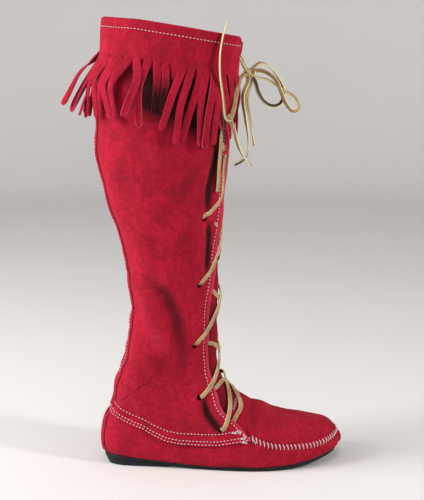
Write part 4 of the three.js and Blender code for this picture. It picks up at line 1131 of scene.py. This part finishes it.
def turn_across(at, y):
    """Turn at which each section is a distance to the outer side of the middle."""
    turns = np.linspace(0, 0.25, 120)
    reach = -last_point(at[:, None], turns[None, :])[..., 1]
    index = np.clip((reach < y[:, None]).sum(axis=1), 1, 119)
    rows = np.arange(len(at))
    before, after = reach[rows, index - 1], reach[rows, index]
    return turns[index - 1] + np.clip((y - before) / (after - before), 0, 1) * turns[1]


def strap_place(u, v):
    """Points and shades of the back strap."""
    foot = np.array([(-0.2, lap_line[0, 1]), (0.2, lap_line[0, 1])])
    low = row_where(lambda p: p[..., 2] - height_on(foot, p[..., 0]), np.array([0.0]), 12)[0] + 0.02
    high = row_where(lambda p: over_collar(p) + CUFF_DEPTH, np.array([0.0]), 20)[0]
    at = low + (high - low) * v
    y = (2 * u - 1) * STRAP_HALF
    turn = turn_across(at, np.abs(y)) * np.sign(y)
    points, shade = leg_skin(at, turn % 1.0, TRIM_INNER + TRIM_SUEDE)
    return points, shade


def tab_place(u, v):
    """Points and shades of the heel tab."""
    high = row_where(lambda p: p[..., 2] - TAB_TOP, np.array([0.0]), 11)[0]
    at = TAB_ROW_LOW + (high - TAB_ROW_LOW) * v
    y = (2 * u - 1) * TAB_HALF
    turn = turn_across(at, np.abs(y)) * np.sign(y)
    points = skin(at, turn % 1.0, 0 * at + LAYER_GAP + TRIM_SUEDE)
    soft = soft_relief(points, FOOT_FOLDS, FOOT_LUMPS)
    points[:, 2] = np.maximum(points[:, 2], seat(points[:, 0]) + SUEDE)
    return points + out_of_last(at, turn % 1.0) * soft[:, None], soft * 100


dress(leather_panel("suede_back_strap", 20, 190, [strap_place], away_from_leg, TRIM_SUEDE),
      "red_suede", red_suede, suede_edge, inner_suede, replaced=["back_strap"])
dress(leather_panel("suede_heel_tab", 20, 40, [tab_place], away_from_leg, TRIM_SUEDE),
      "red_suede", red_suede, suede_edge, inner_suede, replaced=["heel_tab"])

# Fringed cuff
# A wide band of suede is turned over the collar and stitched on near its rim. Below the band it is
# cut into strips, which hang free, curl and splay with wear, and show their paler cut edges.
RIM_RISE = ([-0.030, 0.110], [0.0004, 0.0046])
RIM_ROLL = 0.0032
BAND_TUCK = 0.006
STRIP_WIDTH = 0.0078
STRIP_WALL = 0.0018
STRIP_GAP = 0.00015
STRIP_LIFT = 0.0006
STRIP_STEPS = 26
STRIP_ACROSS = 5
# Strips of the outer side from the back to the throat. Columns: x at root, at the bend and at the
# tip, drop of the bend, length, stand-off at the bend and at the tip, all in mm, twist in degrees
# and how much painted shade darkens the strip towards its tip.
STRIPS = [
    (-29, -47, -63, 16, 50, 18, 34, 40, 0), (-28, -43, -55, 30, 57, 14, 26, 30, 0),
    (-26, -36, -48, 30, 60, 8, 20, -20, 0.6), (-20, -36, -42, 20, 62, 9, 14, 10, 0),
    (-15, -32, -31, 18, 62, 8, 6, 10, 0), (-10, -26, -28, 25, 60, 5, 5, 25, 0),
    (-3, -23, -16, 22, 62, 7, 6, 0, 0), (4, -15, -12, 22, 62, 6, 6, -10, 0),
    (10, 11, -3, 20, 56, 10, 14, 15, 0), (22, 12, 12, 22, 64, 8, 8, 0, 0),
    (30, 30, 27, 20, 50, 3, 3, 20, 1.5), (38, 38, 33, 20, 46, 3, 3, -20, 1.6),
    (46, 48, 47, 18, 40, 2, 4, 15, 1.2), (55, 46, 33, 22, 62, 6, 8, -8, 0),
    (63, 54, 47, 28, 74, 7, 7, -12, 0), (73, 65, 53, 28, 70, 5, 6, -30, 0),
    (78, 72, 71, 24, 74, 5, 7, 20, 0), (86, 83, 75, 20, 74, 8, 9, -10, 0),
    (92, 90, 84, 20, 70, 9, 10, 5, 0), (101, 103, 98, 26, 62, 4, 6, 12, 0.4),
    (107, 108, 103, 24, 54, 3, 5, -8, 0.9), (84, 88, 92, 22, 58, 4, 5, 30, 0.7),
    (93, 97, 101, 25, 66, 5, 6, 10, 0),
]


def band_place(u, v):
    """Points and shades of the cuff's band, its rim rolled inwards."""
    turn = np.full(u.shape, 0.0)
    for _ in range(3):
        folded = np.minimum(turn % 1.0, 1 - turn % 1.0)
        top = collar_at(folded)
        low = band_low(folded)
        at = low + (top - low) * v
        turn = (2 * u - 1) * shaft_high(at)
    roll = np.clip((v - 0.90) / 0.10, 0, 1)
    curl = RIM_ROLL * (1 - np.sqrt(1 - roll ** 2 * 0.98))
    points, shade = leg_skin(at, turn % 1.0, TRIM_INNER + TRIM_SUEDE - curl)
    points[:, 2] += (0.5 + 0.5 * v) * np.interp(points[:, 0], *RIM_RISE)
    return points, shade


band_turns = np.linspace(0, 0.5, 60)
band_rows = row_where(lambda p: over_collar(p) + CUFF_DEPTH - BAND_TUCK, band_turns, start=20)


def band_low(turn):
    """Running row number of the band's lower end at a turn."""
    return np.interp(turn, band_turns, band_rows)


def strip_line(strip, mirrored):
    """Middle line of a strip, its outward directions and its twist."""
    root_x, bend_x, tip_x, bend, length, bend_off, tip_off, twist, _ = strip
    down = np.linspace(0, 1, STRIP_STEPS + 1)
    knots = np.array([0, bend / length * 0.5, bend / length, (1 + bend / length) / 2, 1])

    def smooth(values):
        fitted = spline(list(zip(knots, values)), 0.004)
        return np.interp(down, fitted[:, 0], fitted[:, 1])

    x = smooth([root_x, root_x * 0.62 + bend_x * 0.38, bend_x, (bend_x + tip_x) / 2, tip_x])
    off = smooth([0, bend_off * 0.42, bend_off, (bend_off + tip_off) / 2, tip_off]) / 1000
    top = height_on(collar_line, np.clip(root_x / 1000, -0.032, 0.12)) - CUFF_DEPTH + 0.007
    top += 0.5 * np.interp(root_x / 1000, *RIM_RISE)
    z = top - down * length / 1000
    turns = np.linspace(0, 0.485, 160)
    rows = at_height(z[:, None], turns[None, :])
    surface = last_point(rows, turns[None, :])
    out = out_of_last(rows, turns[None, :])
    reach = surface[..., 0] + out[..., 0] * (off[:, None] + TRIM_INNER)
    index = np.clip((reach < x[:, None] / 1000).sum(axis=1), 0, 159)
    pick = np.arange(len(z))
    normal = unit(out[pick, index] * (1, 1, 0.0))
    level = TRIM_INNER + TRIM_SUEDE - STRIP_WALL * 0.5 + STRIP_GAP + off
    level += STRIP_LIFT * np.clip(down * 8, 0, 1)
    line = surface[pick, index] + leg_relief(surface[pick, index])[:, None] * normal
    line = line + normal * level[:, None]
    line[:, 2] = z
    line[:, :2] = smoothed(line[:, :2])
    if mirrored:
        line[:, 1] *= -1
        normal[:, 1] *= -1
    return line, unit(smoothed(normal)), np.radians(twist) * down * (-1 if mirrored else 1)


def smoothed(values):
    """Values evened out along a line, its ends kept."""
    values = values.copy()
    for _ in range(16):
        values[1:-1] = (values[:-2] + 2 * values[1:-1] + values[2:]) / 4
    return values


def strip_place(strip, mirrored, curl):
    """Places of one strip of the fringe, rounded at its tip and curled across."""
    line, normal, twist = strip_line(strip, mirrored)
    travel = unit(np.gradient(line, axis=0))
    side = unit(np.cross(travel, normal))
    out = np.cross(side, travel)
    steps = np.linspace(0, 1, len(line))
    length = strip[4] / 1000

    def place(u, v):
        def at(values):
            return np.stack([np.interp(v, steps, values[:, i]) for i in range(3)], axis=1)
        turn = np.interp(v, steps, twist)[:, None]
        lean, face = at(side), at(out)
        across = lean * np.cos(turn) + face * np.sin(turn)
        facing = face * np.cos(turn) - lean * np.sin(turn)
        tip = np.clip((1 - v) * length / 0.0045, 0, 1)
        half = STRIP_WIDTH / 2 * (1 - 0.18 * v) * np.sqrt(1 - (1 - tip) ** 2 * 0.9)
        s = 2 * u - 1
        bow = curl * (s ** 2) * v
        points = at(line) + across * (s * half)[:, None] + facing * bow[:, None]
        # Paler towards the strip's edges and a little darker along its middle; the last column
        # paints shade on the strip towards its tip
        edge_tone = 0.5 * (np.abs(s) ** 3 - 0.2) * np.clip(v * 8, 0, 1)
        return points, edge_tone - strip[8] * np.clip(v * 1.8 - 0.3, 0, 1)
    return place


rng = np.random.default_rng(12)
strip_places = [strip_place(strip, False, rng.uniform(-0.0012, 0.0012)) for strip in STRIPS]
for strip in [*STRIPS[1:], (100, 104, 109, 28, 64, 6, 6, 10, 0)]:
    varied = np.array(strip, float)
    varied[:8] += rng.normal(0, 1, 8) * (1.2, 2.5, 3.5, 3, 3, 1.2, 1.5, 14)
    varied[6] = max(varied[6], 3)
    varied[5] = max(varied[5], 2)
    strip_places.append(strip_place(tuple(varied), True, rng.uniform(-0.0012, 0.0012)))
cuff_band = leather_panel("suede_cuff_band", 150, 34, [band_place], away_from_leg, TRIM_SUEDE)
dress(cuff_band, "red_suede", red_suede, suede_edge, inner_suede, replaced=["fringe_cuff"])
cuff_strips = leather_panel("suede_fringe", STRIP_ACROSS, STRIP_STEPS, strip_places, away_from_leg,
                            STRIP_WALL, offset=0.0)
dress(cuff_strips, "red_suede", red_suede, suede_edge, inner_suede)

# Lace crossings
# The same thong runs down the throat: from each hole it comes up under the edge, crosses the tongue
# and goes over the other edge into the next hole. One short end hangs from the top.
# Each strand in mm: x and z in the side view, height above the last, and 1 on the far side.
CROSSINGS = [
    [(94, 336, 1, 0), (97, 332, 2, 0), (101, 326, 3, 0), (98, 304, 3, 1), (92, 284, 3.5, 1),
     (86, 274, 4, 1), (78, 266, 3, 1), (76, 263, 0, 1)],
    [(94, 336, 1, 1), (98, 332, 2, 1), (102, 324, 5, 1), (98, 322, 5, 0), (96, 300, 4, 0),
     (94, 282, 3.6, 0), (84, 270, 4, 0), (78, 266, 3, 0), (76, 263, 0, 0)],
    [(79, 264, -1.2, 0), (84, 260, 1, 0), (90, 252, 2, 0), (96, 236, 3, 0), (94, 218, 3, 1),
     (84, 206, 4, 1), (73, 197, 3, 1), (71, 194, 0, 1)],
    [(79, 264, -1.2, 1), (88, 262, 1.5, 1), (96, 254, 4, 1), (97, 240, 5, 0), (90, 224, 3.5, 0),
     (84, 209, 4, 0), (74, 197, 3, 0), (71, 194, 0, 0)],
    [(74, 196, -1.2, 0), (80, 190, 1, 0), (88, 181, 2, 0), (93, 172, 3, 0), (90, 156, 3, 1),
     (80, 142, 4, 1), (69, 134, 3, 1), (66, 131, 0, 1)],
    [(74, 196, -1.2, 1), (84, 194, 1.5, 1), (93, 184, 4, 1), (93, 172, 5, 0), (88, 160, 3.5, 0),
     (79, 144, 4, 0), (69, 133, 3, 0), (66, 130, 0, 0)],
    [(70, 133, -1.2, 0), (78, 131, 1, 0), (87, 127, 2, 0), (94, 119, 3, 0), (92, 104, 3, 1),
     (85, 90, 4, 1), (75, 80, 3, 1), (72, 77, 0, 1)],
    [(70, 133, -1.2, 1), (84, 132, 1.5, 1), (94, 124, 4.4, 1), (93, 113, 4.6, 0), (90, 101, 3.5, 0),
     (84, 89, 4, 0), (75, 79, 3, 0), (72, 76, 0, 0)],
    [(76, 80, -1.2, 0), (82, 83, 1, 0), (88, 85, 2, 0), (97, 89, 3, 0), (104, 78, 3, 1),
     (106, 60, 4, 1), (98, 48, 3, 1), (95, 45, 0, 1)],
    [(76, 80, -1.2, 1), (88, 90, 1.5, 1), (98, 96, 4.4, 1), (100, 90, 4.6, 0), (102, 79, 3.6, 0),
     (103, 68, 3.5, 0), (101, 57, 3.5, 0), (97, 47, 3, 0), (94, 44, 0, 0)],
    [(98, 47, -1.2, 1), (104, 62, 1.5, 1), (106, 82, 3.5, 1), (108, 82, 3.5, 0), (113, 71, 3.4, 0),
     (114, 64, 2.6, 0), (109, 57, 2, 0), (104, 48, 0.8, 0), (100, 45, 0, 0)],
]
HANGING_END = [(92, 380, 0, 0), (94, 370, 2.6, 0), (95, 357, 4, 0), (94, 344, 5, 0),
               (93, 330, 5, 0), (92, 316, 5, 0), (91, 302, 4.6, 0), (90, 289, 5, 0)]


def on_boot(x, z, lift, mirrored):
    """A point over the outer or inner side, from its place in the side view, and the way out."""
    target = np.array([x, z]) / 1000
    for _ in range(2):
        at, turn = (np.array([value]) for value in side_spot(*target))
        lift *= 1 - 0.22 * np.clip((turn[0] - 0.43) / 0.05, 0, 1)
        out = out_of_last(at, turn)[0]
        target = np.array([x, z]) / 1000 - out[[0, 2]] * lift / 1000
    turn = 1 - turn if mirrored else turn
    out = out_of_last(at, turn)[0]
    return last_point(at, turn)[0] + out * lift / 1000, out


def strand(name, route):
    """A thong over the boot along a route."""
    placed = [on_boot(*spot) for spot in route]
    both = spline([(*point, *out) for point, out in placed], LACE_STEP)
    return thong(name, both[:, :3], both[:, 3:])


strands = [strand("thong_crossing_%02d" % i, route) for i, route in enumerate(CROSSINGS)]
strands.append(strand("thong_hanging_end", HANGING_END))
joined = bmesh.new()
for piece in strands:
    joined.from_mesh(piece.data)
    bpy.data.objects.remove(piece)
crossing_mesh = bpy.data.meshes.new("thong_crossings")
joined.to_mesh(crossing_mesh)
joined.free()
crossing_mesh.shade_smooth()
dress(place_mesh("thong_crossings", crossing_mesh), "lace_leather", lace_leather,
      replaced=["lace_crossings"])

# Stitches
# White waxed cotton, sunk a little into the suede: three rows where the shaft laps over the foot
# part, one along the throat and the cuff, two on the strap, and whip stitches round the plug.
COTTON = "#EDE6E4"
COTTON_SHADE = "#B99AA2"
THREAD = 0.00085
RUN_PITCH = 0.0036
RUN_LENGTH = 0.0020
WHIP_BITE = 0.0032
WHIP_LEAN = 0.0004
WHIP_WIDE = 1.25
LAP_RISES = (0.0015, 0.0048, 0.0120)
THROAT_INSET = 0.0045
CUFF_DROP = 0.0095
STRAP_REACH = 0.0122
TRIM_PITCH = 0.0037
TRIM_LENGTH = 0.0021
JOINT_PITCH = 0.0030
JOINT_LENGTH = 0.0042
JOINT_LEAN = 1.2
THREAD_RISE = 0.0004
# Hand stitches that close the corner of the throat, on both sides. Columns: x, z, lean in degrees
# and length, in mm. The last six are the bar tacks at the ends of the lap's rows.
CORNER_STITCHES = [
    (110.6, 43.4, -25, 4.2), (113.6, 41.6, 20, 4.0), (116.4, 39.4, -8, 4.4),
    (119.4, 38.0, 14, 4.2), (122.6, 36.2, -4, 4.6), (125.8, 34.4, -12, 4.8),
    (128.4, 32.4, -16, 5.0), (112.4, 42.6, 62, 4.4), (118.0, 38.4, -52, 4.0),
    (106.5, 42.2, 88, 6.0), (107.4, 41.4, 97, 5.4), (115.4, 36.4, 85, 6.4),
    (116.2, 35.7, 96, 6.0), (117.0, 32.8, 84, 7.0), (117.6, 32.0, 94, 6.4),
]


def waxed_cotton():
    """Twisted white thread, waxed."""
    material, output = material_of("waxed_cotton_thread")
    place = node(material, "TexCoord", out="Object")
    twist = node(material, "TexNoise", {"Vector": place, "Scale": 1 / 0.0006, "Detail": 2.0}, "Fac")
    share = node(material, "MapRange", {"Value": twist, "From Min": 0.35, "From Max": 0.6}, 0)
    colour = node(material, "Mix", {0: share, 6: COTTON_SHADE, 7: COTTON}, 2, data_type="RGBA")
    bump = node(material, "Bump", {"Strength": 0.5, "Distance": 0.0002, "Height": twist})
    thread = node(material, "BsdfPrincipled", {
        "Base Color": colour, "Roughness": 0.75, "IOR": 1.5, "Normal": bump.outputs[0]})
    node_link(material, thread, output)
    return material


def stitches_along(line, outs, pitch, length, lean=0.0, wide=1.0):
    """Places of stitches along a line on the suede: start, end and the way out."""
    run = np.concatenate([[0], np.cumsum(np.linalg.norm(np.diff(line, axis=0), axis=1))])
    middles = np.arange(pitch / 2, run[-1], pitch)

    def at(values, places):
        return np.stack([np.interp(places, run, values[:, i]) for i in range(3)], axis=1)
    travel = unit(at(line, middles + 0.0006) - at(line, middles - 0.0006))
    out = unit(at(outs, middles))
    across = np.cross(out, travel)
    middle = at(line, middles)
    reach = (travel * math.cos(lean) + across * math.sin(lean)) * length / 2
    return [(m - r, m + r, o, wide) for m, r, o in zip(middle, reach, out)]


def bead():
    """Corners and faces of one stitch, a unit bead drawn out along X."""
    made = bmesh.new()
    bmesh.ops.create_uvsphere(made, u_segments=6, v_segments=5, radius=1,
                              matrix=Matrix.Rotation(math.pi / 2, 4, "Y"))
    corners = np.array([vertex.co[:] for vertex in made.verts])
    faces = [[vertex.index for vertex in face.verts] for face in made.faces]
    made.free()
    return corners, faces


def sew(name, places):
    """All stitches of a group as one mesh: a bead for each, joined from arrays."""
    corners, faces = bead()
    start, end, out = (np.array([place[i] for place in places]) for i in range(3))
    thick = THREAD / 2 * np.array([place[3] for place in places])[:, None]
    along = unit(end - start)
    side = unit(np.cross(out, along))
    half = np.linalg.norm(end - start, axis=1, keepdims=True) / 2
    points = ((start + end) / 2)[:, None, :]
    axes = ((along, half, 0), (side, thick, 1), (np.cross(along, side), thick, 2))
    for axis, size, which in axes:
        points = points + (axis * size)[:, None, :] * corners[None, :, which:which + 1]
    joined = [[index + step * len(corners) for index in face]
              for step in range(len(places)) for face in faces]
    mesh = bpy.data.meshes.new(name)
    mesh.from_pydata(points.reshape(-1, 3).tolist(), [], joined)
    mesh.shade_smooth()
    dress(place_mesh(name, mesh), None, cotton)


def both_sides(line_of):
    """A line's points and outward directions on the outer and on the inner side."""
    return [line_of(False), line_of(True)]


def lap_row(rise, mirrored):
    """A stitch row along the shaft's lap, a distance above its edge."""
    rows = np.linspace(corner_row, 18.2, 500)
    turn = crossing(rows, lambda p: p[..., 2] - height_on(lap_line, p[..., 0]) - rise, 0.0, 0.5)
    keep = (turn > 0.002) & (turn < shaft_high(rows) - 0.004)
    rows, turn = rows[keep], turn[keep]
    turn = 1 - turn if mirrored else turn
    return leg_skin(rows, turn, SHAFT_OUTER + THREAD_RISE)[0], out_of_last(rows, turn)


def throat_row(mirrored):
    """The stitch row along the throat."""
    rows = np.linspace(corner_row + 0.5, band_low(0.4), 500)
    turn = crossing(rows, lambda p: p[..., 0] - throat_x(p[..., 2]) + THROAT_INSET, 0.2, 0.5)
    turn = 1 - turn if mirrored else turn
    return leg_skin(rows, turn, SHAFT_OUTER + THREAD_RISE)[0], out_of_last(rows, turn)


def cuff_row(mirrored):
    """The stitch row under the cuff's rim."""
    turns = np.linspace(0, 0.46, 400)
    rows = row_where(lambda p: over_collar(p) + CUFF_DROP, turns, start=22)
    keep = turns < shaft_high(rows) - 0.006
    rows, turns = rows[keep], turns[keep]
    turns = 1 - turns if mirrored else turns
    line = leg_skin(rows, turns, TRIM_INNER + TRIM_SUEDE + 0.0006)[0]
    line[:, 2] += np.interp(line[:, 0], *RIM_RISE)
    return line, out_of_last(rows, turns)


def strap_row(mirrored):
    """The stitch row beside one edge of the back strap."""
    rows = np.linspace(16.6, 26.4, 500)
    turn = turn_across(rows, np.full(rows.shape, STRAP_REACH))
    turn = 1 - turn if mirrored else turn
    return leg_skin(rows, turn, TRIM_INNER + TRIM_SUEDE + THREAD_RISE)[0], out_of_last(rows, turn)


def plug_stitches(mirrored):
    """Whip stitches over the plug's seam, each of them a half below the ridge and a half above."""
    on_line = np.abs(seam_points[:, 2] - height_on(seam_line, seam_points[:, 0])) < 0.0006
    runs = np.arange(np.interp(seam_start_x, seam_points[::-1, 0], seam_run[::-1]),
                     seam_run[on_line].min() + 0.001, -PUCKER_PITCH)
    lean = WHIP_LEAN * np.array([-1, 0, 1])
    bite = WHIP_BITE * np.array([-1, 0, 1])
    lines = []
    for step in range(3):
        rows = np.interp(runs + lean[step], seam_run, foot_rows)
        turn = np.interp(rows, foot_rows, foot_seam)
        turn = turn + bite[step] / np.interp(rows, foot_rows, girth)
        turn = 1 - turn if mirrored else turn
        lines.append(foot_skin(rows, turn, THREAD_RISE + 0.0003 * (step == 1))[0])
    outs = out_of_last(rows, turn)
    low, crest, high = lines
    past = 0.22
    return ([(a, b + (b - a) * past, o, WHIP_WIDE) for a, b, o in zip(low, crest, outs)]
            + [(b - (c - b) * past, c, o, WHIP_WIDE) for b, c, o in zip(crest, high, outs)])


def joint_row(mirrored):
    """The line on which the tongue is sewn to the vamp."""
    turns = np.linspace(0.385, 0.499, 60)
    rows = np.interp(turns, joint_turns, joint_rows)
    turns = 1 - turns if mirrored else turns
    return skin(rows, turns, 0 * rows + THREAD_RISE), out_of_last(rows, turns)


cotton = waxed_cotton()
running = []
for rise in LAP_RISES:
    for line, outs in both_sides(lambda mirrored: lap_row(rise, mirrored)):
        running += stitches_along(line, outs, RUN_PITCH, RUN_LENGTH)
for line_of in (throat_row, cuff_row, strap_row):
    for line, outs in both_sides(line_of):
        running += stitches_along(line, outs, TRIM_PITCH, TRIM_LENGTH, wide=0.95)
sew("running_stitches", running)
whipped = []
for mirrored in (False, True):
    whipped += plug_stitches(mirrored)
for line, outs in both_sides(joint_row):
    whipped += stitches_along(line, outs, JOINT_PITCH, JOINT_LENGTH, lean=JOINT_LEAN)
for x, z, lean, length in CORNER_STITCHES:
    half_x = length / 2 * math.sin(math.radians(lean))
    half_z = length / 2 * math.cos(math.radians(lean))
    lift = np.interp(x, [104, 122, 128], [3.0, 2.6, 1.3])
    for mirrored in (False, True):
        (start, out), (end, _) = (on_boot(x + side * half_x, z + side * half_z, lift, mirrored)
                                  for side in (-1, 1))
        whipped.append((start, end, out, 1.05))
sew("whip_stitches", whipped)

# Floor and light
# A plain pale studio floor whose rim curves up all round, a broad soft light from the back left, a
# smaller one from the front right and one overhead.
SHEET = "#EAE8E6"
SHEET_SHADE = "#E2E0DE"
SHEET_FLAT = 2.1
SHEET_CURVE = 0.5
SHEET_TOP = 1.3


def paper_sheet():
    """Seamless paper with a faint uneven tone."""
    material, output = material_of("seamless_paper")
    place = node(material, "TexCoord", out="Object")
    tone = node(material, "TexNoise", {"Vector": place, "Scale": 1 / 0.5, "Detail": 2.0}, "Fac")
    colour = node(material, "Mix", {0: tone, 6: SHEET, 7: SHEET_SHADE}, 2, data_type="RGBA")
    paper = node(material, "BsdfPrincipled", {"Base Color": colour, "Roughness": 0.9, "IOR": 1.45})
    node_link(material, paper, output)
    return material


sheet = bmesh.new()
bend = [math.radians(angle) for angle in range(0, 91, 6)]
profile = [(0, 0)] + [(SHEET_FLAT + SHEET_CURVE * math.sin(a), SHEET_CURVE * (1 - math.cos(a)))
                      for a in bend] + [(SHEET_FLAT + SHEET_CURVE, SHEET_TOP)]
spots = [sheet.verts.new((x, 0, z)) for x, z in profile]
line = [sheet.edges.new(pair) for pair in zip(spots, spots[1:])]
bmesh.ops.spin(sheet, geom=[*spots, *line], cent=(0, 0, 0), axis=(0, 0, 1), angle=2 * math.pi,
               steps=96, use_merge=True)
bmesh.ops.remove_doubles(sheet, verts=sheet.verts, dist=1e-5)
bmesh.ops.recalc_face_normals(sheet, faces=sheet.faces)
sheet.faces.ensure_lookup_table()
floor_face = min(sheet.faces, key=lambda face: face.calc_center_median().length)
if floor_face.normal.z < 0:
    bmesh.ops.reverse_faces(sheet, faces=sheet.faces)
sheet_mesh = bpy.data.meshes.new("studio_sheet")
sheet.to_mesh(sheet_mesh)
sheet.free()
sheet_mesh.shade_smooth()
studio_sheet = place_mesh("studio_sheet", sheet_mesh)
studio_sheet.data.materials.append(paper_sheet())


def soft_light(name, place, target, size, power, colour):
    """A square soft light at a place, turned to a target."""
    data = bpy.data.lights.new(name, "AREA")
    data.size = size
    data.energy = power
    data.color = srgb(colour)[:3]
    lamp = bpy.data.objects.new(name, data)
    lamp.location = place
    lamp.rotation_euler = (Vector(target) - Vector(place)).to_track_quat("-Z", "Y").to_euler()
    scene.collection.objects.link(lamp)


MIDDLE = (0.06, 0.0, 0.24)
# Columns: name, place, size in metres, power in watts, colour
LIGHTS = [
    ("back_left", (-1.5, -0.35, 0.9), 0.9, 36, "#FFFFFF"),
    ("front_right", (1.45, -0.75, 0.95), 0.2, 13, "#FFFAF4"),
    ("overhead", (0.1, -0.3, 2.0), 1.2, 7, "#FFFFFF"),
]
for light_name, light_place, light_size, power, light_colour in LIGHTS:
    soft_light(light_name, light_place, MIDDLE, light_size, power, light_colour)

world = bpy.data.worlds.new("studio")
world.use_nodes = True
world.node_tree.nodes["Background"].inputs["Color"].default_value = srgb("#F2F2F4")
world.node_tree.nodes["Background"].inputs["Strength"].default_value = 0.34
scene.world = world
scene.view_settings.view_transform = "Standard"
